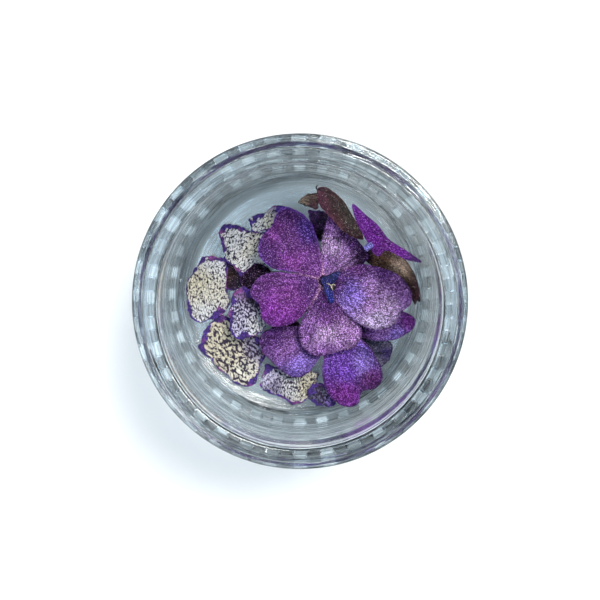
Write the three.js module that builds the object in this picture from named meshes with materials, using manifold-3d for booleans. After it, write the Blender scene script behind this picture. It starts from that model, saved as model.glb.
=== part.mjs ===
// Dried hydrangea in a jar: a low, thick-walled clear glass jar with a screw neck and no lid, and in it a
// loose heap of dried florets and single petals. Millimetres, +Z up, origin at the centre of the jar's foot.
import * as THREE from "three";
import { mergeVertices } from "three/addons/utils/BufferGeometryUtils.js";
import Module from "manifold-3d";

const wasm = await Module();
wasm.setup();

// ---------------------------------------------------------------- driving dimensions
const JAR_HEIGHT = 45;
const BODY_RADIUS = 30;
const BORE_RADIUS = 25.2; // inside of the wall
const MOUTH_RADIUS = 24.3; // the bore narrows a little at the lip
const NECK_RADIUS = 27; // outside of the neck, at the root of the thread
const SHOULDER_Z = 33;
const FLOOR_Z = 5.2; // inside of the base
const UNDERSIDE_Z = 1.9; // middle of the underside, hollow over the pads
const HEEL_FILLET = 4.2; // inside, between the floor and the wall
const PAD_COUNT = 36; // flat pads moulded round the foot, which the jar stands on
const PAD_HEIGHT = 0.5;
const PAD_WIDTH = 2.7; // along the rim
const PAD_LENGTH = 2.65; // along the radius
const PAD_INNER_RADIUS = 27.2;
const PAD_ROOT = 0.4; // how far a pad runs up into the base
const LATHE_STEPS = 2 * PAD_COUNT;

const THREAD_TURNS = 1.15;
const THREAD_PITCH = 4.2;
const THREAD_START_Z = 36.6;
const THREAD_DEPTH = 1.3;
const THREAD_STEPS = 60;

const PETAL_THICKNESS = 0.7;
const SEAT_GAP = 0.3; // between a petal and what it lies on
const OUTLINE_STEPS = 25;
const RINGS = [0.4, 0.76, 1];

const PLUM = { color: 0x5b2a78, roughness: 0.75, metalness: 0 };
const VIOLET = { color: 0x6a3aa0, roughness: 0.75, metalness: 0 };
const DARK_PLUM = { color: 0x2e1538, roughness: 0.8, metalness: 0 };
const MAUVE_BROWN = { color: 0x4a3036, roughness: 0.7, metalness: 0 };
const DARK_BROWN = { color: 0x35231c, roughness: 0.7, metalness: 0 };
const CREAM = { color: 0xc8c3b2, roughness: 0.85, metalness: 0 };
const INK_BLUE = { color: 0x141a48, roughness: 0.6, metalness: 0 };
const SLATE = { color: 0x4c4668, roughness: 0.8, metalness: 0 };
const TAUPE = { color: 0x6b5a52, roughness: 0.7, metalness: 0 };

// ---------------------------------------------------------------- solids
function toSolid(geometry) {
  const bare = geometry.index ? geometry.toNonIndexed() : geometry.clone();
  const only = new THREE.BufferGeometry();
  only.setAttribute("position", bare.getAttribute("position"));
  const merged = mergeVertices(only, 1e-4);
  const mesh = new wasm.Mesh({
    numProp: 3,
    vertProperties: merged.attributes.position.array,
    triVerts: new Uint32Array(merged.index.array),
  });
  return new wasm.Manifold(mesh);
}

function toGeometry(solid) {
  const mesh = solid.getMesh();
  const geometry = new THREE.BufferGeometry();
  geometry.setAttribute("position", new THREE.BufferAttribute(mesh.vertProperties, 3));
  geometry.setIndex(new THREE.BufferAttribute(mesh.triVerts, 1));
  geometry.computeVertexNormals();
  return geometry;
}

// A closed body through rings of points: each ring is a closed loop, and both ends are capped.
function loft(sections) {
  const around = sections[0].length;
  const points = sections.flat();
  const faces = [];
  for (let i = 0; i + 1 < sections.length; i += 1) {
    for (let j = 0; j < around; j += 1) {
      const next = (j + 1) % around;
      const [a, b] = [i * around + j, i * around + next];
      const [c, d] = [a + around, b + around];
      faces.push(a, b, d, a, d, c);
    }
  }
  const last = (sections.length - 1) * around;
  for (let j = 1; j + 1 < around; j += 1) {
    faces.push(0, j + 1, j, last, last + j, last + j + 1);
  }
  return fromFaces(points, faces);
}

function fromFaces(points, faces) {
  const geometry = new THREE.BufferGeometry();
  const flat = points.flatMap((p) => [p.x, p.y, p.z]);
  geometry.setAttribute("position", new THREE.Float32BufferAttribute(flat, 3));
  geometry.setIndex(faces);
  return geometry;
}

// ---------------------------------------------------------------- jar
function roundCorner(centre, radius, fromDegrees, toDegrees, steps) {
  const points = [];
  for (let i = 0; i <= steps; i += 1) {
    const angle = THREE.MathUtils.degToRad(fromDegrees + ((toDegrees - fromDegrees) * i) / steps);
    points.push([centre[0] + radius * Math.cos(angle), centre[1] + radius * Math.sin(angle)]);
  }
  return points;
}

// Radius and height of the wall's section, from the middle of the underside round to the middle of the floor.
function jarSection() {
  const heelRound = 0.25; // outside corner between the foot and the wall
  const shoulderRound = 0.4;
  const lipRound = 0.35; // outer corner of the lip
  const mouthRound = 0.75; // inner corner of the lip
  const hollowRim = PAD_INNER_RADIUS - 3.8; // where the hollow of the underside ends
  const floorRim = BORE_RADIUS - HEEL_FILLET;
  return [
    [0, UNDERSIDE_Z],
    [hollowRim - 5.4, UNDERSIDE_Z - 0.2],
    [hollowRim, UNDERSIDE_Z - 0.5],
    [hollowRim + 1.5, PAD_HEIGHT + 0.4],
    [hollowRim + 2, PAD_HEIGHT],
    ...roundCorner([BODY_RADIUS - heelRound, PAD_HEIGHT + heelRound], heelRound, -90, 0, 2),
    [BODY_RADIUS, SHOULDER_Z / 2],
    ...roundCorner([BODY_RADIUS - shoulderRound, SHOULDER_Z - shoulderRound], shoulderRound, 0, 90, 3),
    [NECK_RADIUS, SHOULDER_Z],
    ...roundCorner([NECK_RADIUS - lipRound, JAR_HEIGHT - lipRound], lipRound, 0, 90, 2),
    ...roundCorner([MOUTH_RADIUS + mouthRound, JAR_HEIGHT - mouthRound], mouthRound, 90, 180, 3),
    [MOUTH_RADIUS, SHOULDER_Z + 4],
    [BORE_RADIUS, SHOULDER_Z - 3],
    ...roundCorner([floorRim, FLOOR_Z + HEEL_FILLET], HEEL_FILLET, 0, -90, 6),
    [0, FLOOR_Z],
  ];
}

function turned(section) {
  const profile = section.map(([radius, height]) => new THREE.Vector2(radius, height));
  const geometry = new THREE.LatheGeometry(profile, LATHE_STEPS);
  return toSolid(geometry.rotateX(Math.PI / 2));
}

// A ridge that winds round the neck, thinning to nothing at both ends.
function thread() {
  const sections = [];
  const sunk = NECK_RADIUS - 0.6;
  const rootHalf = 1; // half the height of the ridge at its root and at its crest
  const crestHalf = 0.45;
  for (let i = 0; i <= THREAD_STEPS; i += 1) {
    const share = i / THREAD_STEPS;
    const angle = 2 * Math.PI * THREAD_TURNS * share;
    const height = THREAD_START_Z + THREAD_PITCH * THREAD_TURNS * share;
    const full = Math.min(1, 8 * share, 8 * (1 - share));
    const crest = sunk + 0.35 + (THREAD_DEPTH + 0.25) * full;
    const corners = [
      [sunk, -rootHalf],
      [crest, -crestHalf],
      [crest, crestHalf],
      [sunk, rootHalf],
    ];
    const ring = corners.map(
      ([r, z]) => new THREE.Vector3(r * Math.cos(angle), r * Math.sin(angle), height + z),
    );
    sections.push(ring);
  }
  return toSolid(loft(sections.map((ring) => ring.reverse())));
}

function pads() {
  const all = [];
  for (let i = 0; i < PAD_COUNT; i += 1) {
    const height = PAD_HEIGHT + PAD_ROOT;
    const pad = new THREE.BoxGeometry(PAD_LENGTH, PAD_WIDTH, height);
    pad.translate(PAD_INNER_RADIUS + PAD_LENGTH / 2, 0, height / 2);
    pad.rotateZ((2 * Math.PI * i) / PAD_COUNT);
    all.push(toSolid(pad));
  }
  return all;
}

function jar() {
  return [thread(), ...pads()].reduce((body, piece) => body.add(piece), turned(jarSection()));
}

// ---------------------------------------------------------------- petals
const radians = THREE.MathUtils.degToRad;

// Height of the glass inside the jar at a distance from its axis: a flat floor, then the rounded heel.
function glassZ(distance) {
  const into = Math.max(0, distance - (BORE_RADIUS - HEEL_FILLET));
  const capped = Math.min(into, HEEL_FILLET * 0.97);
  return FLOOR_Z + HEEL_FILLET - Math.sqrt(HEEL_FILLET ** 2 - capped ** 2);
}

// A closed smooth outline through points given as [degrees, distance] round a centre.
function outline(points, centre = [0, 0]) {
  const knots = points.map(
    ([angle, distance]) =>
      new THREE.Vector3(
        centre[0] + distance * Math.cos(radians(angle)),
        centre[1] + distance * Math.sin(radians(angle)),
        0,
      ),
  );
  const curve = new THREE.CatmullRomCurve3(knots, true, "centripetal");
  return curve.getSpacedPoints(OUTLINE_STEPS).slice(0, OUTLINE_STEPS);
}

// A petal of plain shape, from its claw at the centre: broad, round-ended and nicked at the tip.
function petalShape({ toward = 0, length, halfAngle = 42, nick = 0.06 }) {
  const points = [[toward - halfAngle, 1.2]];
  for (let share = -0.9; share <= 0.91; share += 0.2) {
    const dent = 1 - nick * Math.exp(-((share / 0.18) ** 2));
    const distance = length * Math.cos((share * Math.PI) / 2) ** 0.42 * dent;
    points.push([toward + halfAngle * share, distance]);
  }
  points.push([toward + halfAngle, 1.2]);
  return points;
}

function middleOf(edge) {
  const middle = new THREE.Vector3();
  edge.forEach((p) => middle.addScaledVector(p, 1 / edge.length));
  return middle;
}

// A petal as a thin closed sheet. Rings run from its hub out to its edge, alike on both faces, and each
// point stands half the thickness off the sheet along its normal. place(x, y, share) gives the point in the
// jar for a point of the outline's plane, where share is 0 at the hub and 1 at the edge. The hub is the
// middle of the outline, but a bent petal names one that sees its whole edge.
function petal(edge, place, hub) {
  const middle = hub ? new THREE.Vector3(...hub, 0) : middleOf(edge);
  const around = edge.length;
  const sheet = [place(middle.x, middle.y, 0)];
  for (const share of RINGS) {
    for (const p of edge) {
      const at = middle.clone().lerp(p, share);
      sheet.push(place(at.x, at.y, share));
    }
  }
  const upper = [];
  for (let j = 0; j < around; j += 1) {
    const next = (j + 1) % around;
    upper.push([0, 1 + j, 1 + next]);
    for (let ring = 0; ring + 1 < RINGS.length; ring += 1) {
      const [a, b] = [1 + ring * around + j, 1 + ring * around + next];
      upper.push([a, a + around, b + around], [a, b + around, b]);
    }
  }
  const flat = fromFaces(sheet, upper.flat());
  flat.computeVertexNormals();
  const normals = flat.getAttribute("normal");
  const halfThickness = PETAL_THICKNESS / 2;
  const offset = (side) =>
    sheet.map((p, i) =>
      p.clone().addScaledVector(new THREE.Vector3().fromBufferAttribute(normals, i), side * halfThickness),
    );
  const count = sheet.length;
  const lower = upper.map(([a, b, c]) => [a + count, c + count, b + count]);
  const rim = [];
  const firstEdge = 1 + (RINGS.length - 1) * around;
  for (let j = 0; j < around; j += 1) {
    const [a, b] = [firstEdge + j, firstEdge + ((j + 1) % around)];
    rim.push([a, a + count, b + count], [a, b + count, b]);
  }
  return toSolid(fromFaces([...offset(1), ...offset(-1)], [...upper, ...lower, ...rim].flat()));
}

// Places a petal that lies: its height over the glass at the middle, its slope, how far its middle is domed
// over its edge, and how far the edge waves up and down. It lifts over the rounded heel by itself.
function lying(edge, { lift, slope = [0, 0], dome = 0.8, wave = 0.25, waves = 5 }) {
  const middle = middleOf(edge);
  const seat = SEAT_GAP + PETAL_THICKNESS / 2;
  return (x, y, share) => {
    const turn = Math.atan2(y - middle.y, x - middle.x);
    const tilt = slope[0] * (x - middle.x) + slope[1] * (y - middle.y);
    const height = lift + tilt + dome * (1 - share ** 2) + wave * share ** 3 * (1 + Math.sin(waves * turn));
    return new THREE.Vector3(x, y, glassZ(Math.hypot(x, y)) + seat + Math.max(0, height));
  };
}

// Places a petal that leans or stands on edge: its height at a point of the plan, a steep slope uphill
// towards `uphill` degrees, a gentler one along its length, and a hollow across that length.
function leaning({ height, at, uphill, steepness, along, hollow }) {
  const across = [Math.cos(radians(uphill)), Math.sin(radians(uphill))];
  return (x, y) => {
    const up = (x - at[0]) * across[0] + (y - at[1]) * across[1];
    const far = (x - at[0]) * across[1] - (y - at[1]) * across[0];
    return new THREE.Vector3(x, y, height + steepness * up + along * far - hollow * up ** 2);
  };
}

// A round stalk through a few points, from thick to thin.
function stalk(points, radii) {
  const curve = new THREE.CatmullRomCurve3(points.map((p) => new THREE.Vector3(...p)));
  const sections = [];
  const steps = 6;
  const sides = 8;
  for (let i = 0; i <= steps; i += 1) {
    const share = i / steps;
    const at = curve.getPoint(share);
    const along = curve.getTangent(share);
    const first = new THREE.Vector3(1, 0, 0).cross(along).normalize();
    const second = along.clone().cross(first);
    const radius = radii[0] + (radii[1] - radii[0]) * share;
    const ring = [];
    for (let j = 0; j < sides; j += 1) {
      const angle = (2 * Math.PI * j) / sides;
      ring.push(
        at
          .clone()
          .addScaledVector(first, radius * Math.cos(angle))
          .addScaledVector(second, radius * Math.sin(angle)),
      );
    }
    sections.push(ring);
  }
  return toSolid(loft(sections));
}

function button(centre, radius, height) {
  const shape = new THREE.SphereGeometry(radius, 12, 8).scale(1, 1, height / radius);
  return toSolid(shape.translate(...centre));
}

function join(solids) {
  return solids.reduce((whole, solid) => whole.add(solid));
}

// ---------------------------------------------------------------- florets
// The open floret on top: five petals, [degrees, distance] round its eye, as they look from above.
const MAIN_EYE = [4.6, 3.1, 14.6];
const MAIN_PETALS = [
  {
    edge: [[100, 1.2], [98, 6], [101, 9.6], [104, 11.8], [111, 14.3], [119, 16], [126, 15.5], [134, 14.4],
      [144, 14.6], [154, 14], [161, 12.6], [166, 10.2], [164, 6], [160, 1.2]],
    rise: 0.3, dome: 1.3, droop: 1.4,
  },
  {
    edge: [[165, 1.2], [166, 6], [171, 10.2], [178, 12.6], [186, 14], [192, 14.2], [199, 13.2], [205, 13.4],
      [212, 13.9], [220, 13.3], [228, 11.7], [235, 9.2], [240, 6], [244, 1.2]],
    rise: 0.5, dome: 1.2, droop: 1.1,
  },
  {
    edge: [[245, 1.2], [242, 6], [241, 9], [245, 11.4], [251, 13], [258, 14.1], [266, 14.6], [275, 14.1],
      [284, 13.9], [293, 14.1], [302, 13.2], [308, 11.6], [307, 7], [300, 1.2]],
    rise: -0.2, dome: 1.2, droop: 1.2,
  },
  {
    edge: [[300, 1.2], [302, 5.6], [307, 9.4], [314, 12.6], [322, 14.7], [331, 15.9], [339, 16.1], [345, 17],
      [351, 16.9], [358, 15.7], [5, 14], [14, 10.8], [26, 7.2], [36, 1.2]],
    rise: 0.9, dome: 1.2, droop: 0.9,
  },
  {
    edge: [[36, 1.2], [22, 5], [23, 8.2], [29, 9.7], [39, 9.8], [53, 10.1], [69, 11.1], [79, 12.1], [85, 12.4],
      [88, 11.2], [92, 8.6], [98, 5], [98, 1.2]],
    rise: -0.5, dome: 0.9, droop: 0.9,
  },
];

// The floret below it, four petals, of which one is hidden.
const LOWER_EYE = [6, -6.5, 10.4];
const LOWER_PETALS = [
  {
    edge: [[172, 1.2], [174, 6], [178, 10], [182, 12.9], [188, 14], [198, 13.9], [209, 13.1], [220, 12.5],
      [230, 12], [237, 11.1], [243, 9], [248, 5.5], [250, 1.2]],
    rise: 0, dome: 1, droop: 1.4,
  },
  {
    edge: [[352, 1.2], [346, 5], [337, 7.8], [329, 10], [322, 12.4], [315, 13.9], [307, 14.2], [299, 13.5],
      [295, 13.7], [290, 15.3], [284, 15.5], [277, 14.7], [269, 12.8], [261, 9.8], [255, 5.4], [252, 1.2]],
    rise: 0.6, dome: 1.1, droop: 0.5,
  },
  {
    edge: [[345, 1.2], [345, 6.5], [346, 9.2], [351, 12.6], [357, 14.9], [2, 16.3], [7, 16.4], [12, 15.1],
      [17, 12.5], [22, 8], [25, 1.2]],
    rise: -0.6, dome: 1, droop: 0.6,
  },
  { edge: petalShape({ toward: 100, length: 8, halfAngle: 40 }), rise: -0.4, dome: 0.8, droop: 0.8 },
];

// A dark floret under both, which shows only in the gaps.
const UNDER_EYE = [-4.6, -1.6, 8.2];
const UNDER_PETALS = [
  { edge: petalShape({ toward: 196, length: 8, halfAngle: 40 }), rise: 0.2, dome: 0.5, droop: 0.4 },
  { edge: petalShape({ toward: 290, length: 11.4, halfAngle: 34 }), rise: 0, dome: 0.5, droop: 1.4 },
  { edge: petalShape({ toward: 8, length: 7.6, halfAngle: 40 }), rise: 0, dome: 0.5, droop: 1.2 },
  { edge: petalShape({ toward: 130, length: 9.2, halfAngle: 42 }), rise: 0.55, dome: 0.4, droop: 0.3 },
];

// Petals spread from an eye: each rises or dips as a whole, is domed in the middle and droops at its edge.
function spread(eye, petals) {
  return petals.map(({ edge, rise, dome, droop }) => {
    const reach = Math.max(...edge.map(([, distance]) => distance));
    return petal(outline(edge, eye), (x, y, share) => {
      const out = Math.hypot(x - eye[0], y - eye[1]) / reach;
      const lift = rise * Math.min(1, 2.5 * out) + dome * (1 - share ** 2) * Math.min(1, 2 * out);
      return new THREE.Vector3(x, y, eye[2] + lift - droop * out ** 3);
    });
  });
}

function mainFloret() {
  const [x, y, z] = MAIN_EYE;
  const stem = stalk([[x, y, z], [x + 1, y + 0.9, z - 3], [x + 2.9, y + 2.4, FLOOR_Z + 0.5]], [0.7, 0.45]);
  return join([...spread(MAIN_EYE, MAIN_PETALS), button([x, y, z - 0.1], 1.7, 0.8), stem]);
}

function mainEye() {
  const [x, y, z] = MAIN_EYE;
  const lobes = [];
  for (const [angle, length, breadth] of [[35, 2.2, 1.1], [285, 4.2, 0.9], [160, 1.4, 0.8]]) {
    const lobe = new THREE.SphereGeometry(1, 10, 6).scale(length / 2, breadth / 2, 0.45);
    lobe.translate(length / 2, 0, 0).rotateZ(radians(angle));
    lobes.push(toSolid(lobe.translate(x, y, z + 1.7)));
  }
  return join([...lobes, button([x + 0.2, y - 0.2, z + 1.7], 0.9, 0.7)]);
}

function lowerFloret() {
  const [x, y, z] = LOWER_EYE;
  const stem = stalk([[x, y, z], [x + 0.8, y - 0.4, z - 2], [x + 2.2, y - 1.4, FLOOR_Z + 0.5]], [0.7, 0.45]);
  return join([...spread(LOWER_EYE, LOWER_PETALS), button([x, y, z], 1.6, 0.8), stem]);
}

function underFloret() {
  const [x, y, z] = UNDER_EYE;
  const stem = stalk([[x, y, z], [x, y + 0.2, z - 1], [x + 0.1, y + 0.3, FLOOR_Z + SEAT_GAP]], [0.6, 0.45]);
  return join([...spread(UNDER_EYE, UNDER_PETALS), button([x, y, z], 1.5, 0.7), stem]);
}

// ---------------------------------------------------------------- floret on edge at the wall
// Its stalk points up at the viewer, and its petals lean outward, each dried to a colour of its own.
const WALL_EYE = [13, 10, 13.9];
const WALL_PETALS = {
  violet: {
    centre: [15.2, 10.2],
    edge: [[126, 9.2], [118, 6], [102, 3.6], [72, 1.9], [10, 2.1], [347, 4.4], [338, 7.2], [335.6, 8.2],
      [332, 6.9], [328, 5.6], [326, 3.9], [322, 2.4], [300, 1.6], [270, 2.3], [255, 2.5], [230, 2.1], [185, 2.1],
      [150, 3.9], [136, 6.6]],
    pose: { height: 19.2, at: [16, 11.4], uphill: 50, steepness: 1, along: 0.05, hollow: 0.06 },
  },
  brown: {
    centre: [7.5, 15.9],
    edge: [[125, 6.1], [132, 6.3], [147, 5], [159, 3.9], [174, 2.7], [224, 1.7], [276, 3], [297, 4.8], [307, 6.1],
      [313, 6.6], [317, 6], [324, 4.6], [337, 3.2], [2, 2.2], [44, 2], [83, 2.8], [106, 4.2], [117, 5.4]],
    pose: { height: 16.3, at: [8, 15.8], uphill: 42, steepness: 0.4, along: -0.1, hollow: 0.08 },
  },
  dark: {
    centre: [18.5, 5.5],
    hub: [20.3, 4.7],
    edge: [[153, 6.8], [142, 5.9], [130, 4.7], [108, 3.6], [86, 2.9], [51, 2.2], [5, 2.5], [334, 3.9], [317, 5.8],
      [307.5, 7.5], [303, 7.8], [298, 7.9], [296, 6.6], [296.5, 5.1], [292, 3.2], [259, 1.5], [201, 2], [183, 3.4],
      [173, 4.9], [164, 6.3]],
    pose: { height: 13.6, at: [18.5, 5.5], uphill: 44, steepness: 0.75, along: 0.03, hollow: -0.04 },
  },
};

function wallPetal({ centre, hub, edge, pose }) {
  return petal(outline(edge, centre), leaning(pose), hub);
}

function wallFloret() {
  const [x, y, z] = WALL_EYE;
  const stem = stalk([[x + 1.3, y + 0.6, z + 1.6], [x + 0.4, y, z + 2.3], [x - 0.6, y - 0.8, z + 2.8]], [0.7, 0.55]);
  return join([wallPetal(WALL_PETALS.violet), stem, button([x + 1, y, z + 1], 1.2, 1)]);
}

// ---------------------------------------------------------------- loose petals
const LOOSE = [
  {
    name: "cream_petal_top", finish: CREAM, centre: [-7.1, 14.3], lift: 2.4, slope: [0.06, 0.02], dome: 0.5,
    edge: [[175, 3.1], [135, 2], [95, 1.8], [62, 2.8], [48, 4.2], [34, 5.3], [5, 5.4], [340, 4.6], [310, 2.6],
      [270, 1.8], [225, 2.8]],
  },
  {
    name: "cream_petal_upper", finish: CREAM, centre: [-10.9, 9.2], lift: 1.1, slope: [0.02, 0], dome: 0.6,
    edge: [[150, 5.7], [138, 6], [122, 5.5], [100, 4.4], [75, 3.7], [52, 3.7], [36, 5.2], [15, 6], [345, 5.6],
      [318, 5], [290, 4.8], [266, 5.6], [252, 4.6], [220, 4], [190, 4], [168, 4.6]],
  },
  {
    name: "cream_petal_left", finish: CREAM, centre: [-18, 1.2], lift: 1, slope: [0.16, 0], dome: 0.6,
    edge: [[97, 6.4], [80, 6.6], [60, 6.5], [45, 5.4], [20, 3.9], [350, 3.9], [325, 5.2], [302, 5.5], [280, 5.9],
      [258, 6.8], [238, 6.2], [215, 5], [180, 4.2], [148, 4.2], [122, 4.9], [108, 5.6]],
  },
  {
    name: "cream_petal_inner", finish: CREAM, centre: [-10.8, -3.7], lift: 4.2, slope: [-0.08, 0.04], dome: 0.5,
    edge: [[106, 5.1], [90, 5.5], [72, 4.9], [40, 3.4], [5, 3.6], [332, 4.6], [305, 4.4], [275, 4.5], [250, 4.9],
      [225, 3.8], [190, 2.8], [155, 3], [125, 4.2]],
  },
  {
    name: "cream_petal_lower_left", finish: CREAM, centre: [-13.6, -11.5], lift: 0, slope: [0, 0], dome: 0.5,
    edge: [[100, 7.6], [118, 7.3], [135, 6.8], [153, 6.5], [168, 6.8], [183, 5.2], [205, 3.9], [235, 3.8],
      [260, 4.4], [280, 6.2], [297, 7.4], [312, 7.3], [325, 6.7], [340, 6.1], [355, 6.8], [10, 6.9], [30, 6.1],
      [55, 5.2], [78, 6.2]],
  },
  {
    name: "cream_petal_bottom", finish: CREAM, centre: [-2.3, -18.2], lift: 0.1, slope: [0, 0.02], dome: 0.5,
    edge: [[133, 6.2], [122, 4.6], [95, 2.9], [60, 2.6], [42, 3.8], [34, 5.6], [24, 6.6], [8, 5.6], [345, 4.4],
      [318, 4.1], [290, 3.6], [262, 2.9], [228, 2.6], [200, 3.6], [182, 5.2], [160, 5.6]],
  },
  {
    name: "dark_petal_left", finish: DARK_PLUM, centre: [-13.6, 4.4], lift: 0, slope: [0, 0], dome: 0.1, wave: 0.05,
    edge: [[100, 3.4], [60, 3], [20, 3.2], [330, 3.4], [290, 3.6], [240, 3.2], [180, 2.4], [140, 2.8]],
  },
  {
    name: "slate_petal_right", finish: SLATE, centre: [15.1, -11], lift: 0.1, slope: [0.02, 0.1], dome: 0.5,
    edge: [[140, 4], [100, 3.2], [60, 3], [20, 3.2], [340, 2.9], [310, 3], [280, 3.2], [240, 2.4], [180, 2.8]],
  },
  {
    name: "slate_scrap_bottom", finish: SLATE, centre: [4.6, -19.6], lift: 1.2, slope: [0.05, 0.1], dome: 0.7,
    edge: [[140, 3], [105, 2.6], [70, 1.8], [20, 2], [340, 2.8], [300, 2.6], [260, 2.1], [215, 2.6], [180, 3]],
  },
  {
    name: "tucked_petal", finish: DARK_PLUM, centre: [4.3, 13.4], lift: 0.2, slope: [0, 0.06], dome: 0.5,
    edge: [[129, 4.2], [119, 3.7], [107, 3.1], [88, 2.9], [64, 3.2], [40, 3], [5, 2.4], [300, 2.6], [262, 3],
      [240, 2.5], [205, 2], [165, 2.1], [143, 3.1]],
  },
  {
    name: "curled_petal", finish: TAUPE, centre: [1.8, 18.4], lift: 0, slope: [0, -0.02], dome: 0.1, wave: 0.1,
    edge: [[185, 2.2], [150, 1.5], [104, 1.3], [62, 1.7], [40, 2.3], [10, 1.8], [330, 1.9], [314, 2.2], [292, 1.4],
      [225, 1.1]],
  },
];

// ---------------------------------------------------------------- the object
const object = new THREE.Group();

function addNode(name, solid, finish) {
  const mesh = new THREE.Mesh(toGeometry(solid), new THREE.MeshStandardMaterial(finish));
  mesh.name = name;
  object.add(mesh);
}

const glass = { color: 0xdfeaf0, roughness: 0.02, metalness: 0, transparent: true, opacity: 0.35 };
addNode("jar", jar(), glass);
addNode("main_floret", mainFloret(), PLUM);
addNode("main_floret_eye", mainEye(), INK_BLUE);
addNode("lower_floret", lowerFloret(), VIOLET);
addNode("under_floret", underFloret(), DARK_PLUM);
addNode("wall_floret", wallFloret(), VIOLET);
addNode("wall_brown_petal", wallPetal(WALL_PETALS.brown), MAUVE_BROWN);
addNode("wall_dark_petal", wallPetal(WALL_PETALS.dark), DARK_BROWN);
for (const { name, finish, centre, edge, ...pose } of LOOSE) {
  const plan = outline(edge, centre);
  addNode(name, petal(plan, lying(plan, pose)), finish);
}

export default object;
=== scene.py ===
"""Dried hydrangea in a low glass jar: the pressed glass, the open florets and the loose, crazed cream petals,
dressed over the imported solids. Shapes are worked out in millimetres and written to the meshes in metres."""

import math

import bpy
import numpy as np
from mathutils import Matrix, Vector, noise


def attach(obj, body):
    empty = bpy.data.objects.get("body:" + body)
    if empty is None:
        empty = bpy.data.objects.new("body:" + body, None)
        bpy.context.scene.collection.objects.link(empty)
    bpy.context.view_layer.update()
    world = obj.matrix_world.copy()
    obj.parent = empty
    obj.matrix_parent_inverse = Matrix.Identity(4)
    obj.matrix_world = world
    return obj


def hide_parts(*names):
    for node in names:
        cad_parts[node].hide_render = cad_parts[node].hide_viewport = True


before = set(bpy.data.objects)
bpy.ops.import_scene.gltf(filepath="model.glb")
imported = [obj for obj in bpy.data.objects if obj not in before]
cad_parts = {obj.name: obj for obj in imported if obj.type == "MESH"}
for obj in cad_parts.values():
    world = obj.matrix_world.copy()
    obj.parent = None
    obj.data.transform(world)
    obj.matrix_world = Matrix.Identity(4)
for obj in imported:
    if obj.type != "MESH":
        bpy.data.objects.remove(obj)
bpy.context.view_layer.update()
MM = 0.001

# ------------------------------------------------------------------------------- sizes, as on the solids
JAR_HEIGHT = 45.0
BODY_RADIUS = 30.0
BORE_RADIUS = 25.2
MOUTH_RADIUS = 24.3
NECK_RADIUS = 27.0
SHOULDER_Z = 33.0
FLOOR_Z = 5.2
HEEL_FILLET = 4.2
PAD_COUNT = 36
PAD_HEIGHT = 0.5
PAD_WIDTH = 2.7
PAD_LENGTH = 2.65
PAD_INNER_RADIUS = 27.2
THREAD_TURNS = 1.15
THREAD_PITCH = 4.2
THREAD_START_Z = 36.6
THREAD_DEPTH = 1.3

SOLID_THICKNESS = 0.7
SEAT_GAP = 0.3
PETAL_THICKNESS = 0.26
STEPS_BETWEEN_KNOTS = 24
OUTLINE_STEPS = 180
RING_SHARES = [0.08, 0.17, 0.26, 0.35, 0.43, 0.5, 0.57, 0.64, 0.7, 0.75, 0.8, 0.84, 0.88, 0.91, 0.94, 0.96,
    0.98, 1.0]
PETAL_CREASE = 55
GLASS_CREASE = 40
CLAW = 1.2
TIP_NICK = 0.06
WAVES_ROUND = 5


def srgb(red, green, blue):
    """A colour read off a screen, 0 to 255, as the linear values that a shader wants."""
    shares = [channel / 255 for channel in (red, green, blue)]
    return tuple(c / 12.92 if c <= 0.04045 else ((c + 0.055) / 1.055) ** 2.4 for c in shares)


DYE = {
    "night plum": srgb(40, 20, 52),
    "aubergine": srgb(28, 14, 32),
    "dark plum": srgb(60, 30, 78),
    "deep violet": srgb(82, 46, 106),
    "plum": srgb(98, 54, 116),
    "mulberry": srgb(106, 52, 120),
    "magenta plum": srgb(116, 50, 136),
    "orchid": srgb(138, 94, 160),
    "dusty rose": srgb(156, 116, 172),
    "pale rose": srgb(176, 144, 186),
    "pale lilac": srgb(190, 168, 206),
    "lavender": srgb(138, 110, 194),
    "violet blue": srgb(100, 78, 154),
    "blue rim": srgb(62, 40, 112),
    "vivid violet": srgb(124, 48, 152),
    "navy": srgb(11, 22, 88),
    "stalk navy": srgb(18, 30, 116),
    "stalk blue": srgb(150, 140, 218),
    "bud": srgb(96, 74, 70),
    "ivory": srgb(214, 209, 194),
    "chalk": srgb(212, 212, 214),
    "straw": srgb(204, 196, 172),
    "lilac white": srgb(198, 192, 220),
    "grey lilac": srgb(140, 132, 160),
    "indigo": srgb(66, 38, 122),
    "bright violet": srgb(104, 62, 160),
    "pink margin": srgb(128, 66, 132),
    "pink edge highlight": srgb(198, 150, 178),
    "violet line": srgb(124, 96, 168),
    "rosewood": srgb(94, 50, 58),
    "olive brown": srgb(68, 54, 46),
    "bark": srgb(58, 36, 34),
    "maroon": srgb(54, 24, 32),
    "gold brown": srgb(108, 74, 50),
    "tan": srgb(150, 118, 92),
    "pale tan": srgb(186, 158, 136),
    "dry mauve": srgb(98, 50, 68),
    "olive grey": srgb(56, 54, 44),
    "taupe": srgb(116, 92, 84),
    "slate": srgb(80, 76, 106),
}


# ------------------------------------------------------------------------------- sheets of petal
def round_steps(rows, around, start=0):
    """Each point and the next one along, in some rows of points that each go once round."""
    firsts = [start + row * around for row in range(rows)]
    return [(first + j, first + (j + 1) % around) for first in firsts for j in range(around)]


def closed_faces(rows, around):
    """The faces of a closed round shape: a first point, rows that go once round, and a last point."""
    last = 1 + rows * around
    faces = [(0, b, a) for a, b in round_steps(1, around, 1)]
    faces += [(a, b, b + around, a + around) for a, b in round_steps(rows - 1, around, 1)]
    return faces + [(last, a, b) for a, b in round_steps(1, around, last - around)]


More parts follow.
